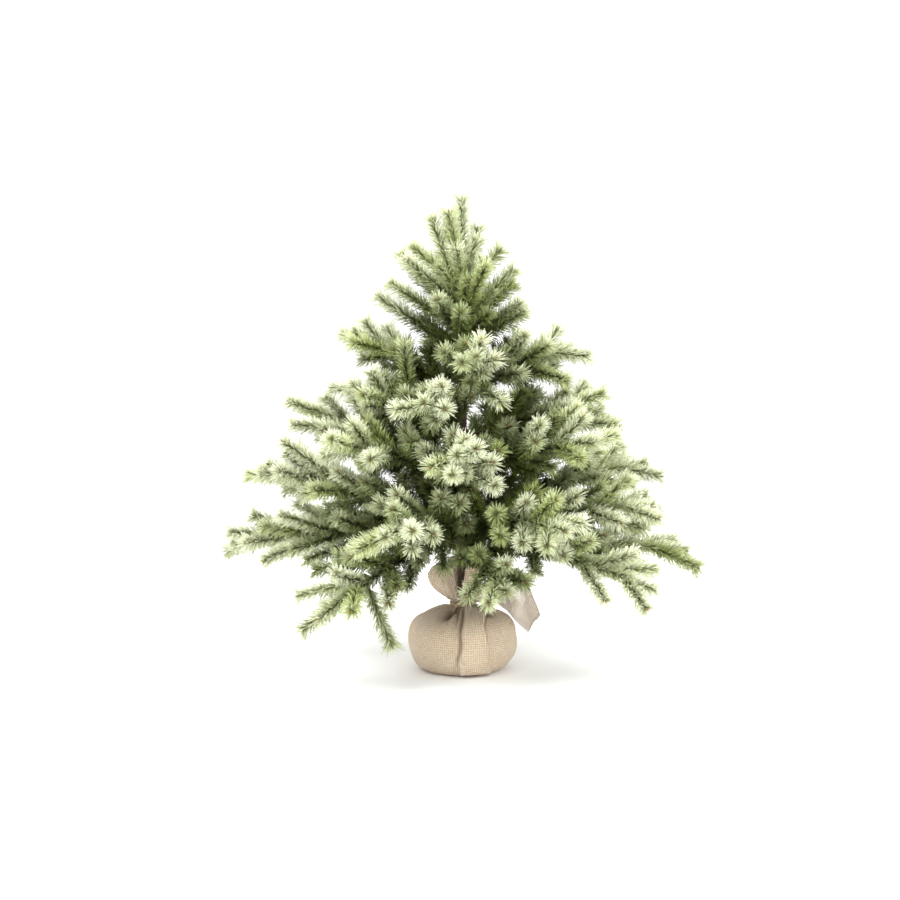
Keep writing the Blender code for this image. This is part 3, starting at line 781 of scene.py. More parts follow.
# Longer shoots with a place of their own: the branch, the share along its wire, and the tip.
SET_SHOOTS = (
    ("branch_03", 0.68, (-0.085, -0.150, 0.064)), ("branch_03", 0.60, (-0.196, -0.120, 0.118)),
    ("branch_03", 0.50, (-0.079, -0.150, 0.136)), ("branch_14", 0.62, (-0.208, -0.020, 0.313)),
    ("branch_10", 0.52, (-0.217, -0.060, 0.296)), ("branch_02", 0.58, (-0.246, -0.030, 0.186)),
    ("branch_02", 0.78, (-0.287, -0.022, 0.178)), ("branch_24", 0.25, (0.075, -0.050, 0.424)),
    ("branch_25", 0.30, (0.045, -0.105, 0.352)), ("branch_25", 0.20, (0.070, -0.070, 0.382)),
    ("branch_17", 0.35, (0.092, -0.098, 0.322)), ("branch_17", 0.22, (0.055, -0.085, 0.318)),
    ("branch_21", 0.50, (0.188, -0.040, 0.314)), ("branch_21", 0.45, (0.172, -0.030, 0.352)),
    ("branch_08", 0.55, (0.221, -0.060, 0.191)), ("branch_11", 0.30, (-0.0225, -0.125, 0.154)),
    ("branch_11", 0.55, (-0.122, -0.182, 0.190)), ("branch_16", 0.50, (-0.012, -0.178, 0.274)),
    ("branch_16", 0.45, (0.0375, -0.165, 0.259)), ("branch_20", 0.40, (-0.025, -0.125, 0.372)),
    ("branch_12", 0.35, (0.045, -0.150, 0.196)), ("branch_11", 0.20, (0.004, -0.120, 0.206)),
    ("branch_11", 0.12, (-0.012, -0.100, 0.176)), ("branch_12", 0.12, (0.014, -0.095, 0.174)),
    ("branch_03", 0.40, (-0.178, -0.070, 0.140)), ("branch_10", 0.36, (-0.150, -0.080, 0.262)),
    ("branch_17", 0.30, (0.140, -0.060, 0.338)), ("branch_19", 0.45, (-0.070, -0.040, 0.412)),
    ("branch_01", 0.50, (0.190, -0.070, 0.150)), ("branch_24", 0.45, (0.126, -0.040, 0.371)),
    ("branch_10", 0.60, (-0.202, -0.020, 0.283)), ("branch_10", 0.74, (-0.238, -0.030, 0.264)),
    ("branch_02", 0.50, (-0.222, -0.050, 0.204)), ("branch_02", 0.35, (-0.190, -0.060, 0.151)),
    ("branch_02", 0.62, (-0.243, -0.050, 0.148)), ("branch_03", 0.30, (-0.066, -0.125, 0.133)),
    ("branch_05", 0.35, (0.088, -0.110, 0.146)),
)
SKIRT_COUNT = 7         # the lowest branches, which have no shoots below
FIRST_UPPER = 16        # above it, shoots stay close to the wire, for room beside the trunk when bent up
UPPER_SPREAD = 38


def filling_shoots(number, name, line, reach, chance):
    """Short twigs that fill the branch above and below, between its side twigs."""
    made = []
    for share, spread, turn, part in SHOOTS:
        foot, way = point_on(line, share)
        length = (0.018 + part * reach) * chance.uniform(0.85, 1.12)
        turned = turn + chance.uniform(-22, 22)
        if turned > 180 and number < SKIRT_COUNT:
            continue
        if number > FIRST_UPPER:
            spread = min(spread, UPPER_SPREAD)
        spread += chance.uniform(-5, 7)
        made.append(shoot(foot, foot + way, 0.0, spread, math.radians(turned), length))
    for branch, share, tip in SET_SHOOTS:
        if branch == name:
            made.append((point_on(line, share)[0], Vector(tip)))
    return made


def bud_piece(name, ends, model, finish, chance):
    """A bud at each wire's end, given as (end, way), and sunk a little into it."""
    origins = np.array([tuple(end - way.normalized() * 0.0012) for end, way in ends])
    fronts = np.array([tuple(way) for _, way in ends])
    lengths = np.array([chance.uniform(0.0060, 0.0085) for _ in ends])
    widths = np.array([chance.uniform(0.0019, 0.0026) for _ in ends])
    return mesh_piece(name, *copies(model, origins, fronts, lengths, widths, fronts * 0), finish)


CROWN_SHOOTS = 15       # small ones that climb round the leader
# Small shoots of the crown with a place of their own: the height of the root, and the tip.
SET_CROWN_SHOOTS = (
    (0.428, (-0.087, -0.020, 0.487)), (0.458, (-0.068, -0.030, 0.516)), (0.412, (0.069, -0.030, 0.463)),
    (0.420, (-0.030, -0.070, 0.470)), (0.478, (-0.060, 0.005, 0.530)), (0.430, (0.062, 0.010, 0.482)),
)


def build_crown(models, finishes):
    """The crown: its leader and side twigs, with small shoots between them."""
    chance = random.Random(77)
    garland = Garland(78)
    wires, ends, small = [], [], []
    leader = (Vector((0, 0, CROWN_FOOT)), Vector((0, 0, LEADER_TOP)))
    wires.append(([tuple(p) for p in leader], 0.0034, TWIG_RADIUS))
    ends.append((leader[1], Vector((0, 0, 1))))
    garland.twig(*leader, frost=0.7, tone=0.45, bare=0.05, size=0.92)
    for start, end in crown_twigs():
        wires.append(([tuple(start), tuple(end)], TWIG_RADIUS, 0.8 * TWIG_RADIUS))
        ends.append((end, end - start))
        frost, tone = 0.60 + chance.uniform(-0.3, 0.3), 0.5 + chance.uniform(-0.2, 0.2)
        garland.twig(start, end, frost, tone, size=0.97)
    for k in range(CROWN_SHOOTS):
        height = 0.400 + 0.0080 * k
        azimuth = k * 137.5 + 40
        reach = 0.048 - 0.0021 * k
        small.append((polar(0.003, azimuth, height), polar(reach, azimuth, height + 0.034)))
    for height, tip in SET_CROWN_SHOOTS:
        small.append((Vector((0, 0, height)), Vector(tip)))
    for start, end in small:
        wires.append(([tuple(start), tuple(end)], 0.8 * TWIG_RADIUS, 0.7 * TWIG_RADIUS))
        ends.append((end, end - start))
        frost, tone = 0.45 + chance.uniform(-0.3, 0.4), 0.45 + chance.uniform(-0.2, 0.25)
        garland.twig(start, end, frost, tone, bare=0.1, size=0.92)
    needles = garland.piece("crown_foliage", models["needle"], finishes["needle"])
    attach(needles, "trunk")
    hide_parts("crown_needles")
    twisted = mesh_piece("crown_twisted_wire", *wire_mesh(wires), finishes["wire"])
    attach(twisted, "trunk")
    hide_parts("crown_wires")
    buds = bud_piece("crown_buds", ends, models["bud"], finishes["bud"], chance)
    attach(buds, "trunk")


# ---------------------------------------------------------------- burlap
JUTE_PITCH = 0.0027             # from one yarn to the next
CLOTH_THICK = 0.0011
BAG_RADIUS = 0.0685
BAG_COLUMNS, BAG_ROWS = 336, 92
# painted shade: a crease this deep is painted fully dark at its bottom
DEEP_CREASE = 0.0085            # a crease this deep is dark at its bottom
THREAD_LENGTH, THREAD_WIDTH = 0.0045, 0.00045
THREADS_PER_EDGE = 34
FRAYED_FROM = 8                 # rows of a leaf's root, inside the tie, that have no loose threads
OUTWARD = 900                   # makes the step between two columns of cloth about one unit long

# The bag's outline, from under its middle, over its belly and shoulder, to the frill above the tie.
BAG_OUTLINE = (
    (0.008, 0.0000), (0.024, 0.0000), (0.040, 0.0000), (0.0475, 0.0008), (0.0560, 0.0052), (0.0625, 0.0125),
    (0.0668, 0.0220), (0.0684, 0.0320), (0.0684, 0.0400), (0.0672, 0.0490), (0.0640, 0.0575),
    (0.0580, 0.0650), (0.0480, 0.0712), (0.0370, 0.0752), (0.0270, 0.0778), (0.0185, 0.0796),
    (0.0132, 0.0815), (0.0122, 0.0835), (0.0128, 0.0858), (0.0150, 0.0885), (0.0185, 0.0912),
)
# Creases that run out from the neck: azimuth, depth, half-width, and how far they reach from the neck.
CREASES = (
    (241, 0.0120, 0.0046, 0.052), (262, 0.0050, 0.0022, 0.066), (321, 0.0105, 0.0040, 0.046),
    (205, 0.0030, 0.0040, 0.038), (176, 0.0046, 0.0038, 0.046), (148, 0.0034, 0.0034, 0.040),
    (118, 0.0052, 0.0040, 0.050), (94, 0.0028, 0.0030, 0.036), (66, 0.0050, 0.0040, 0.052),
    (38, 0.0034, 0.0034, 0.040), (10, 0.0044, 0.0038, 0.042), (345, 0.0026, 0.0030, 0.034),
    (226, 0.0022, 0.0026, 0.030), (192, 0.0024, 0.0026, 0.030), (302, 0.0014, 0.0022, 0.030),
)
# The flat pleat that stands proud at the front, by height: its left and right edge.
PLEAT = (
    (0.000, -0.0035, 0.0330), (0.030, -0.0010, 0.0300), (0.055, 0.0015, 0.0275), (0.080, 0.0040, 0.0240),
)
PLEAT_STEP = 0.0052

# The cloth's leaves above the tie, from root to end: the lower or left edge, the upper or right edge, and
# how far the cloth crowns between them.
LEFT_LEAF = (
    ((-0.0060, -0.0105, 0.0815), (-0.0010, -0.0120, 0.0825), 0.0005),
    ((-0.0125, -0.0105, 0.0880), (-0.0020, -0.0115, 0.0900), 0.0020),
    ((-0.0250, -0.0120, 0.0965), (-0.0045, -0.0090, 0.1010), 0.0045),
    ((-0.0370, -0.0130, 0.1065), (-0.0070, -0.0060, 0.1130), 0.0060),
    ((-0.0425, -0.0120, 0.1190), (-0.0105, -0.0040, 0.1260), 0.0060),
    ((-0.0390, -0.0100, 0.1300), (-0.0150, -0.0040, 0.1350), 0.0045),
    ((-0.0310, -0.0080, 0.1360), (-0.0210, -0.0050, 0.1385), 0.0020),
)
CENTRE_LEAF = (
    ((-0.0020, -0.0125, 0.0815), (0.0105, -0.0100, 0.0815), 0.0010),
    ((-0.0015, -0.0150, 0.0900), (0.0145, -0.0130, 0.0900), 0.0020),
    ((0.0000, -0.0170, 0.1030), (0.0190, -0.0150, 0.1030), 0.0035),
    ((0.0030, -0.0170, 0.1190), (0.0215, -0.0150, 0.1190), 0.0035),
    ((0.0050, -0.0160, 0.1330), (0.0215, -0.0140, 0.1330), 0.0030),
    ((0.0068, -0.0195, 0.1400), (0.0212, -0.0175, 0.1400), 0.0030),
    ((0.0090, -0.0175, 0.1500), (0.0195, -0.0155, 0.1500), 0.0022),
    ((0.0120, -0.0145, 0.1600), (0.0170, -0.0135, 0.1600), 0.0005),
)
RIGHT_LEAF = (
    ((0.0080, -0.0095, 0.0805), (0.0100, -0.0060, 0.0860), 0.0010),
    ((0.0210, -0.0130, 0.0860), (0.0190, -0.0060, 0.1010), 0.0020),
    ((0.0375, -0.0190, 0.0880), (0.0380, -0.0060, 0.1190), 0.0050),
    ((0.0540, -0.0250, 0.0800), (0.0600, -0.0070, 0.1290), 0.0070),
    ((0.0640, -0.0290, 0.0700), (0.0760, -0.0110, 0.1230), -0.0040),
    ((0.0710, -0.0280, 0.0625), (0.0850, -0.0130, 0.1030), 0.0030),
    ((0.0780, -0.0260, 0.0560), (0.0925, -0.0150, 0.0860), 0.0060),
    ((0.0830, -0.0250, 0.0520), (0.0985, -0.0160, 0.0715), 0.0040),
)
BACK_LEAF = (
    ((0.0070, 0.0085, 0.0815), (-0.0070, 0.0085, 0.0815), 0.0010),
    ((0.0120, 0.0130, 0.0910), (-0.0110, 0.0130, 0.0910), 0.0025),
    ((0.0220, 0.0210, 0.1040), (-0.0170, 0.0220, 0.1050), 0.0060),
    ((0.0300, 0.0310, 0.1180), (-0.0190, 0.0330, 0.1200), 0.0080),
    ((0.0310, 0.0430, 0.1280), (-0.0160, 0.0450, 0.1310), 0.0070),
    ((0.0240, 0.0540, 0.1310), (-0.0080, 0.0550, 0.1340), 0.0040),
)
LEAF_ACROSS, LEAF_ALONG = 26, 56


def smooth_line(points, count):
    """A smooth line of this many points through the given ones (Catmull-Rom), even in their number."""
    points = np.array(points, float)
    ends = np.vstack([2 * points[0] - points[1], points, 2 * points[-1] - points[-2]])
    at = np.linspace(0, len(points) - 1, count)
    n = np.minimum(at.astype(int), len(points) - 2)
    t = (at - n).reshape(-1, *[1] * (points.ndim - 1))
    p, q, r, s = (ends[n + k] for k in range(4))
    return 0.5 * (2 * q + (r - p) * t + (2 * p - 5 * q + 4 * r - s) * t ** 2
                  + (3 * q - p - 3 * r + s) * t ** 3)


def angle_off(theta, azimuth):
    """Angles from an azimuth in degrees, in radians from -pi to pi."""
    return (theta - math.radians(azimuth) + math.pi) % (2 * math.pi) - math.pi


def cells(rows, columns):
    """The row and the column of every cell of a grid."""
    return (g.ravel() for g in np.meshgrid(np.arange(rows), np.arange(columns), indexing="ij"))


def steps_along(line):
    """How far along it each point of a line is."""
    return np.concatenate([[0], np.cumsum(np.linalg.norm(np.diff(line, axis=0), axis=1))])


class Cloth:
    """Grids of cloth gathered into one mesh with a UV map in metres. Its looks are lacy, lit and pale."""

    def __init__(self):
        self.points, self.corners, self.sizes = [], [], []
        self.uvs, self.looks = [], []
        self.count = 0

    def grid(self, points, u, v, look, closed=False):
        """Rows of points, closed round or open, and one face over the first row where it is closed."""
        rows, columns = points.shape[:2]
        steps = columns if closed else columns - 1
        row, column = cells(rows - 1, steps)
        turned = (column + 1) % columns
        quads = np.stack([row * columns + column, row * columns + turned,
                          (row + 1) * columns + turned, (row + 1) * columns + column], 1)
        ring = [(row, column), (row, column + 1), (row + 1, column + 1), (row + 1, column)]
        self.uvs.append(np.stack([np.stack([u[r, c], v[r, c]], 1) for r, c in ring], 1).reshape(-1, 2))
        self.corners.append((quads + self.count).ravel())
        self.sizes.append(np.full(len(quads), 4))
        self.points.append(points.reshape(-1, 3))
        self.looks.append(look.reshape(-1, 4))
        if closed:
            self.corners.append(self.count + np.arange(columns)[::-1])
            self.uvs.append(np.zeros((columns, 2)))
            self.sizes.append(np.array([columns]))
        self.count += rows * columns

    def piece(self, name, finish):
        made = mesh_piece(name, *map(np.concatenate, (self.points, self.corners, self.sizes)), finish)
        layer = made.data.uv_layers.new(name="weave")
        layer.data.foreach_set("uv", np.concatenate(self.uvs).astype(np.float32).ravel())
        looks = np.concatenate(self.looks).astype(np.float32)
        made.data.attributes.new("cloth", "FLOAT_COLOR", "POINT").data.foreach_set("color", looks.ravel())
        pick(made)
        thick = made.modifiers.new("thickness", "SOLIDIFY")
        thick.thickness = CLOTH_THICK
        thick.offset = -1
        thick.use_rim = True
        bpy.ops.object.modifier_apply(modifier="thickness")
        made.data.shade_smooth()
        return made


def bag_grid(cloth):
    """The bag from under the weight to the frill above the tie, with its creases, the front pleat, and
    painted shade in the creases and tucks.
    """
    outline = smooth_line(BAG_OUTLINE, 400)
    walked = steps_along(outline)
    at = np.linspace(0, walked[-1], BAG_ROWS)
    radius, height = (np.interp(at, walked, outline[:, k])[:, None] for k in (0, 1))
    slope = np.gradient(np.hstack([radius, height]), axis=0)
    slope /= np.linalg.norm(slope, axis=1)[:, None]
    out, up = slope[:, 1:2], -slope[:, 0:1]
    theta = np.linspace(0, 2 * math.pi, BAG_COLUMNS, endpoint=False)[None, :]
    neck_at = np.interp(NECK_HEIGHT, height[:, 0], at)
    from_neck = np.abs(neck_at - at)[:, None]
    push = np.zeros((BAG_ROWS, BAG_COLUMNS))
    dark = np.zeros_like(push)
    for azimuth, depth, width, reach in CREASES:
        aside = angle_off(theta, azimuth) * np.maximum(radius, 0.010)
        fade = 1 - eased(from_neck, 0.25 * reach, reach)
        near = eased(from_neck, 0.0, 0.012)
        spread = width * (0.35 + 0.65 * near) * (1 + 0.9 * from_neck / reach)
        groove = np.exp(-(aside / spread) ** 2)
        push -= depth * fade * (0.30 + 0.70 * near) * groove
        # painted shade along each crease, darker for deeper creases
        dark = np.maximum(dark, groove * fade * depth / DEEP_CREASE)
        push += 0.28 * depth * fade * near * np.exp(-((np.abs(aside) - 2.2 * spread) / spread) ** 2)
    # small gathers under the tie, the frill's waves above it, and the belly's unevenness
    gather = 0.5 + 0.5 * np.cos(17 * theta + 1.3 * np.sin(3 * theta))
    tight = np.exp(-(from_neck / 0.0065) ** 2)
    push -= 0.0026 * tight * gather ** 2
    above = eased(at[:, None], neck_at, neck_at + 0.009)
    push += above * (0.0030 * np.sin(5 * theta + 0.7) + 0.0018 * np.sin(11 * theta + 2.0))
    belly = eased(height, 0.004, 0.020) * (1 - eased(height, 0.070, 0.080))
    push += belly * (0.0011 * np.sin(3 * theta + 0.6 + 30 * height)
                     + 0.0008 * np.sin(7 * theta - 45 * height + 1.1)
                     + 0.0005 * np.sin(13 * theta + 80 * height))
    push += 0.0030 * belly * np.exp(-(angle_off(theta, 350) / 0.5) ** 2) * eased(height, 0.045, 0.062)
    # the front pleat: a raised flat, a ridge along each edge, and a tuck beside it
    lateral = radius * np.cos(theta)
    front = eased(-np.sin(theta), 0.15, 0.45)
    left, right = (np.interp(height, *zip(*[(row[0], row[k]) for row in PLEAT])) for k in (1, 2))
    wave = 0.0011 * np.sin(height * 170 + 0.8)
    raised = eased(lateral, left + wave - 0.0013, left + wave + 0.0004)
    raised *= 1 - eased(lateral, right + wave, right + 0.0030 + wave)
    held = eased(height, 0.0015, 0.010) * (1 - eased(height, 0.0765, 0.0815)) * front
    push += PLEAT_STEP * raised * held
    ridge = np.exp(-((lateral - left - wave - 0.0016) / 0.0016) ** 2)
    ridge += 1.2 * np.exp(-((lateral - right - wave + 0.0008) / 0.0017) ** 2)
    push += 0.0012 * ridge * held
    tuck = np.exp(-((lateral - left - wave + 0.0030) / 0.0020) ** 2) * held * eased(height, 0.010, 0.035)
    other = 0.5 * np.exp(-((lateral - right - wave - 0.0030) / 0.0020) ** 2)
    tuck += other * held * eased(height, 0.004, 0.06)
    push -= 0.0034 * tuck
    # painted shade in the tucks beside the pleat
    dark = np.maximum(dark, 0.75 * tuck)
    ring = radius + push * out
    z = np.maximum(height + push * up, 0.0)
    points = np.stack([ring * np.cos(theta), ring * np.sin(theta), z + 0 * theta], 2)
    turns = np.linspace(0, 2 * math.pi, BAG_COLUMNS + 1)[None, :] * BAG_RADIUS
    u = np.repeat(turns, BAG_ROWS, 0)
    v = np.repeat(at[:, None], BAG_COLUMNS + 1, 1)
    look = np.ones((BAG_ROWS, BAG_COLUMNS, 4))
    look[:, :, 0] = 0
    # the shade channel: painted shade in the creases and tucks
    look[:, :, 1] = 1 - 0.62 * np.clip(dark, 0, 1)
    look[:, :, 2] = 0
    cloth.grid(points, u, v, look, closed=True)


def leaf_grid(cloth, stations, pale, lacy=(0, 0, 1), seed=0.0):
    """A leaf of cloth above the tie: lofted between two edges, crowned, rippled, with painted shade at its
    root.

    A lacy leaf is thin round a place given as the share across it, the share along it, and the reach.
    """
    edges = np.array([(low, high) for low, high, _ in stations])
    crowns = smooth_line(np.array([[crown] for *_, crown in stations]), LEAF_ALONG)[:, :, None]
    low, high = smooth_line(edges[:, 0], LEAF_ALONG), smooth_line(edges[:, 1], LEAF_ALONG)
    share = np.linspace(0, 1, LEAF_ACROSS)[None, :, None]
    flat = low[:, None] + (high - low)[:, None] * share
    along = np.gradient((low + high) / 2, axis=0)
    normal = np.cross(high - low, along)
    normal /= np.linalg.norm(normal, axis=1)[:, None]
    t = np.linspace(0, 1, LEAF_ALONG)[:, None, None]
    ripple = 0.0011 * np.sin(9 * share + 7 * t + seed) + 0.0007 * np.sin(21 * share - 11 * t + 2 * seed)
    pleats = 0.0016 * np.cos(share * 5 * math.pi) * (1 - eased(t, 0.05, 0.45))
    lift = crowns * 4 * share * (1 - share) + (ripple * eased(t, 0.0, 0.3) + pleats)
    points = flat + lift * normal[:, None]
    width = np.linalg.norm(high - low, axis=1)
    walked = steps_along((low + high) / 2)
    u = share[:, :, 0] * width.max() + 0 * t[:, :, 0] + seed
    v = walked[:, None] + 0 * share[:, :, 0]
    look = np.ones((LEAF_ALONG, LEAF_ACROSS, 4))
    middle, place, reach = lacy
    thin = np.exp(-((share - middle) ** 2 + (t - place) ** 2) / reach ** 2)[:, :, 0]
    look[:, :, 0] = thin if middle else 0
    hem = np.maximum(eased(share, 0.94, 1.0), eased(t, 0.955, 1.0))
    # painted shade at the root by the tie, and a darker hem along the free edges
    look[:, :, 1] = ((0.55 + 0.45 * eased(t, 0.02, 0.22)) * (1 - 0.35 * hem))[:, :, 0]
    look[:, :, 2] = (pale * eased(t, 0.10, 0.40) * (1 - 0.6 * hem))[:, :, 0]
    cloth.grid(points, u, v, look)
    return points


def thread_model():
    """One loose jute fibre, one unit wide and long: a thin three-sided tube of four stretches."""
    deselect()
    bpy.ops.mesh.primitive_cylinder_add(vertices=3, radius=0.5, depth=0.25, location=(0, 0, 0.125))
    made = added("thread_model")
    bpy.ops.object.mode_set(mode="EDIT")
    for _ in range(3):
        bm = bmesh.from_edit_mesh(made.data)
        top = max(vert.co.z for vert in bm.verts) - 1e-4
        for face in bm.faces:
            face.select_set(all(vert.co.z > top for vert in face.verts))
        bmesh.update_edit_mesh(made.data)
        bpy.ops.mesh.extrude_region_move(TRANSFORM_OT_translate={"value": (0, 0, 0.25)})
        bpy.ops.transform.resize(value=(0.8, 0.8, 1))
    bpy.ops.object.mode_set(mode="OBJECT")
    return taken_apart(made)


def fray(edge, outward, count, chance):
    """Where loose threads leave an edge, which way they point, and how they bend."""
    at = chance.random(count) * (len(edge) - 1)
    n = at.astype(int)
    feet = edge[n] + (edge[np.minimum(n + 1, len(edge) - 1)] - edge[n]) * (at - n)[:, None]
    ways = outward[n] + 0.45 * chance.standard_normal((count, 3))
    lengths = THREAD_LENGTH * (0.4 + chance.random(count))
    bends = 0.45 * THREAD_LENGTH * chance.standard_normal((count, 3))
    return feet, ways, lengths, bends


def build_burlap(finishes, models):
    """The burlap: one gathered cloth round the weight, open in leaves above its tie, with frayed edges."""
    cloth = Cloth()
    bag_grid(cloth)
    leaves = [
        leaf_grid(cloth, LEFT_LEAF, 0.10, seed=0.3),
        leaf_grid(cloth, CENTRE_LEAF, 0.0, seed=1.7),
        leaf_grid(cloth, RIGHT_LEAF, 0.9, lacy=(0.60, 0.57, 0.20), seed=2.9),
        leaf_grid(cloth, BACK_LEAF, 0.3, seed=4.1),
    ]
    burlap = cloth.piece("burlap_cloth", finishes["burlap"])
    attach(burlap, "trunk")
    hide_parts("burlap_wrap")
    chance = np.random.default_rng(31)
    rows = []
    for points in leaves:
        sides = ((points[:, 0], points[:, 1]), (points[:, -1], points[:, -2]), (points[-1], points[-2]))
        for edge, inside in sides:
            free = edge[FRAYED_FROM:] if len(edge) == LEAF_ALONG else edge
            rows.append(fray(free, (edge - inside) * OUTWARD, THREADS_PER_EDGE, chance))
    feet, ways, lengths, bends = (np.concatenate(column) for column in zip(*rows))
    widths = np.full(len(feet), THREAD_WIDTH)
    threads = mesh_piece("burlap_frayed_threads", *copies(
        models["thread"], feet - 0.0002, ways, lengths, widths, bends), finishes["twine"])
    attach(threads, "trunk")


# ---------------------------------------------------------------- tie, trunk and foot
TWINE_PLY, PLIES = 0.00075, 3
RING_STEPS, TAIL_STEPS, LOOP_STEPS = 144, 18, 24
TAPE_RADIUS, TAPE_BORE, TAPE_PITCH = 0.0057, 0.0034, 0.0062
TAPE_COLUMNS, TAPE_ROWS = 28, 420
BINDING = 0.0035                # tape beyond a tier's lowest and highest root


def tail_at(knot, way, t):
    """A point along the tail that leaves the knot to one side, from 0 at the knot to 1 at its end."""
    return knot + Vector((0.013 * way * t, -0.006 * t, 0.006 * math.sin(2.4 * t) - 0.012 * t * t))


def build_tie(finishes, models):
    """Jute twine of three plies round the neck, a knot at the front and two frayed tails."""
    ring = NECK_RADIUS + 0.0018
    plies = []
    for turn in range(PLIES):
        for lift in (-0.0012, 0.0012):
            line = []
            for k in range(RING_STEPS + 1):
                a = 2 * math.pi * k / RING_STEPS - math.pi / 2
                b = 2 * math.pi * (22 * k / RING_STEPS + turn / PLIES)
                out = ring + TWINE_PLY * math.cos(b)
                line.append((out * math.cos(a), out * math.sin(a),
                             NECK_HEIGHT + lift + TWINE_PLY * math.sin(b)))
            plies.append((line, TWINE_PLY, TWINE_PLY))
    knot = Vector((0.0020, -ring - 0.0014, NECK_HEIGHT))
    for turn in range(PLIES):
        for way in (-1, 1):
            line = []
            for k in range(TAIL_STEPS + 1):
                t = k / TAIL_STEPS
                b = 2 * math.pi * (2.4 * t + turn / PLIES)
                line.append(tuple(tail_at(knot, way, t) + TWINE_PLY * Vector((0, math.cos(b), math.sin(b)))))
            plies.append((line, TWINE_PLY, 0.8 * TWINE_PLY))
        loop = []
        for k in range(LOOP_STEPS + 1):
            a = 2 * math.pi * k / LOOP_STEPS
            b = 2 * math.pi * (3 * k / LOOP_STEPS + turn / PLIES)
            loop.append(tuple(knot + Vector(((0.0021 + 0.6 * TWINE_PLY * math.cos(b)) * math.cos(a),
                                             -0.0008 + 0.6 * TWINE_PLY * math.sin(b),
                                             (0.0027 + 0.6 * TWINE_PLY * math.cos(b)) * math.sin(a)))))
        plies.append((loop, TWINE_PLY, TWINE_PLY))
    tie = mesh_piece("twine_plies", *wire_mesh(plies, step=0.0008), finishes["twine"])
    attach(tie, "trunk")
    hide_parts("twine_tie")
    chance = np.random.default_rng(8)
    feet, ways = [], []
    for way in (-1, 1):
        for _ in range(26):
            feet.append(tuple(tail_at(knot, way, 1)))
            ways.append((way + 0.5 * chance.standard_normal(), 0.5 * chance.standard_normal(),
                         -0.7 + 0.5 * chance.standard_normal()))
    for _ in range(40):
        feet.append(tuple(knot))
        ways.append((chance.standard_normal(), -0.7 + 0.3 * chance.standard_normal(),
                     chance.standard_normal()))
    count = len(feet)
    frayed = mesh_piece("twine_frayed_ends", *copies(
        models["thread"], np.array(feet), np.array(ways), THREAD_LENGTH * (0.5 + chance.random(count)),
        np.full(count, 0.0004), 0.0012 * chance.standard_normal((count, 3))), finishes["twine"])
    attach(frayed, "trunk")


def build_trunk(finishes):
    """The trunk's crepe tape, wound up the pole in lapped turns and thicker where branches are bound in."""
    low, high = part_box("pole_tape")
    z = np.linspace(low.z, high.z, TAPE_ROWS)[:, None]
    theta = np.linspace(0, 2 * math.pi, TAPE_COLUMNS, endpoint=False)[None, :]
    radius = np.full((TAPE_ROWS, 1), TAPE_RADIUS)
    for _, height, limbs in TIERS:
        foot, head = height - BINDING, height + ROOT_STEP * (len(limbs) - 1) + BINDING
        bound = eased(z, foot, foot + 0.002) * (1 - eased(z, head - 0.002, head))
        radius = np.maximum(radius, TAPE_RADIUS + (COLLAR_RADIUS - 0.0060) * bound)
    turns = z / TAPE_PITCH + theta / (2 * math.pi)
    lap = turns % 1.0
    ring = radius + 0.00055 * (1 - lap) * eased(lap, 0.0, 0.06) + 0.00015 * np.sin(5 * theta + 400 * z)
    outer = np.stack([ring * np.cos(theta), ring * np.sin(theta), z + 0 * theta], 2)
    bore = TAPE_BORE + 0 * z
    inner = np.stack([bore * np.cos(theta), bore * np.sin(theta), z + 0 * theta], 2)[::-30]
    points = np.concatenate([outer, inner]).reshape(-1, 3)
    count = TAPE_ROWS + len(inner)
    row, column = cells(count, TAPE_COLUMNS)
    above, aside = (row + 1) % count, (column + 1) % TAPE_COLUMNS
    quads = np.stack([row * TAPE_COLUMNS + column, row * TAPE_COLUMNS + aside,
                      above * TAPE_COLUMNS + aside, above * TAPE_COLUMNS + column], 1)
    sizes = np.full(len(quads), 4)
    tape = mesh_piece("trunk_wound_tape", points, quads.ravel(), sizes, finishes["trunk"])
    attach(tape, "trunk")
    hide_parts("pole_tape")


def finish_foot(finishes):
    """The pole, the cast weight and its cup keep their own shapes, with real finishes."""
    for name in ("pole", "cast_weight", "casting_cup"):
        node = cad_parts[name]
        for slot in node.material_slots:
            slot.material = finishes[name]


# ---------------------------------------------------------------- studio
COVE_STEPS, COVE_STEP = 12, 0.35
SKY_STRENGTH = 1.20
# Soft square lamps: the name, the place, the side and the power in watts.
LAMPS = (
    ("key", (-1.2, -1.6, 2.4), 1.6, 66),
    ("fill", (1.9, -1.4, 1.4), 1.8, 28),
    ("top", (0.2, 0.5, 2.8), 2.2, 60),
)
LAMP_TARGET = Vector((0, 0, 0.3))


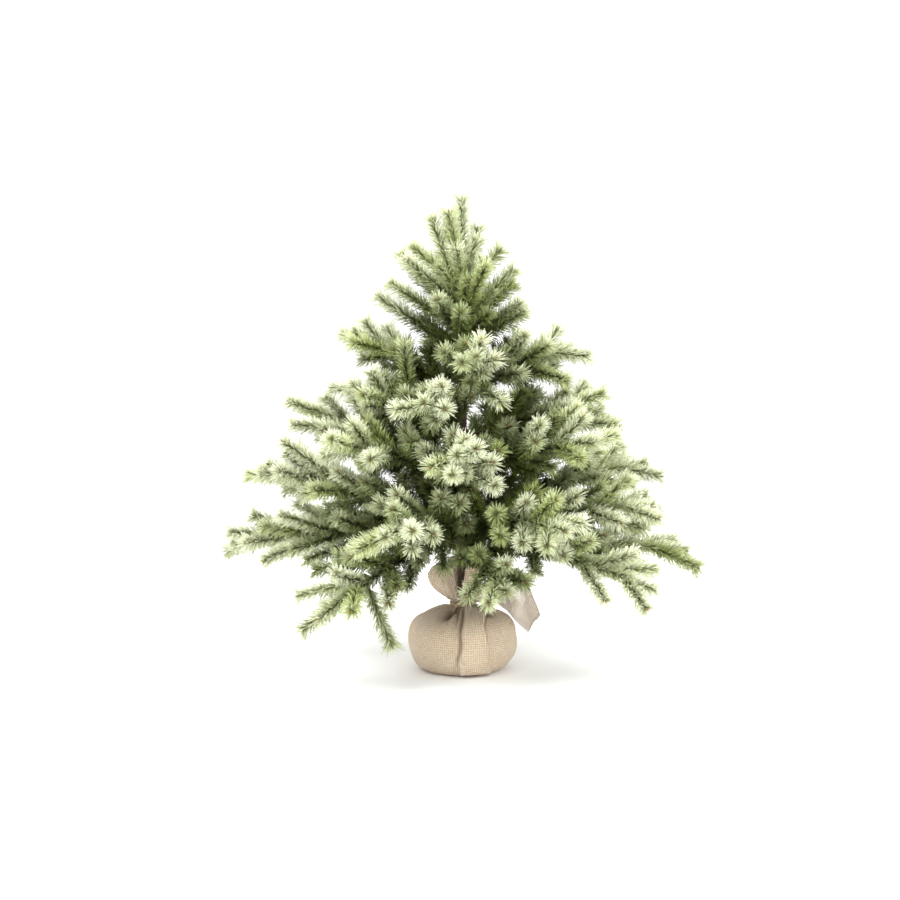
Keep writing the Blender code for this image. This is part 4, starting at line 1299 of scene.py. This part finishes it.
def build_studio():
    """A pale floor that turns up into a backdrop, soft lights, and a long lens from a little above."""
    deselect()
    bpy.ops.mesh.primitive_plane_add(size=16, location=(0, -4, 0))
    floor = added("studio_floor")
    bpy.ops.object.mode_set(mode="EDIT")
    bm = bmesh.from_edit_mesh(floor.data)
    bpy.ops.mesh.select_all(action="DESELECT")
    bpy.ops.mesh.select_mode(type="EDGE")
    for edge in bm.edges:
        edge.select_set(all(vert.co.y > 7.9 for vert in edge.verts))
    bmesh.update_edit_mesh(floor.data)
    for k in range(COVE_STEPS):
        slope = math.radians(90 * (k + 0.5) / COVE_STEPS)
        bpy.ops.mesh.extrude_region_move(TRANSFORM_OT_translate={
            "value": (0, COVE_STEP * math.cos(slope), COVE_STEP * math.sin(slope))})
    bpy.ops.mesh.extrude_region_move(TRANSFORM_OT_translate={"value": (0, 0, 6)})
    bpy.ops.object.mode_set(mode="OBJECT")
    bpy.ops.object.transform_apply(location=True)
    bpy.ops.object.shade_smooth()
    floor.data.materials.append(floor_finish())
    scene = bpy.context.scene
    world = bpy.data.worlds.new("studio")
    world.use_nodes = True
    sky = world.node_tree.nodes["Background"]
    sky.inputs["Color"].default_value = (1, 1, 1, 1)
    sky.inputs["Strength"].default_value = SKY_STRENGTH
    scene.world = world
    for name, place, size, power in LAMPS:
        bpy.ops.object.light_add(type="AREA", location=place)
        lamp = added(name)
        lamp.data.size = size
        lamp.data.energy = power
        aim = LAMP_TARGET - Vector(place)
        lamp.rotation_euler = aim.to_track_quat("-Z", "Y").to_euler()
    elevation, distance = math.radians(8), 2.81
    target = Vector((-0.015, 0, 0.278))
    bpy.ops.object.camera_add()
    camera = added("camera")
    camera.location = target + distance * Vector((0, -math.cos(elevation), math.sin(elevation)))
    camera.rotation_euler = (target - camera.location).to_track_quat("-Z", "Y").to_euler()
    camera.data.lens = 90
    scene.camera = camera
    scene.view_settings.view_transform = "Standard"


# ---------------------------------------------------------------- the whole tree
finishes = {
    "needle": needle_finish(),
    "wire": tape_finish("brown_wire", (0.035, 0.018, 0.010), (0.12, 0.065, 0.035), 900.0),
    "bud": bud_finish(),
    "burlap": burlap_finish(),
    "twine": twine_finish(),
    "trunk": trunk_finish(),
    "pole": pole_finish(),
    "cast_weight": cement_finish(),
    "casting_cup": cup_finish(),
}
models = {"needle": needle_model(), "bud": bud_model(), "thread": thread_model()}
build_studio()
finish_foot(finishes)
build_burlap(finishes, models)
build_tie(finishes, models)
build_trunk(finishes)
for number, (name, line, twigs) in enumerate(branches()):
    build_branch(number, name, line, twigs, models, finishes)
build_crown(models, finishes)
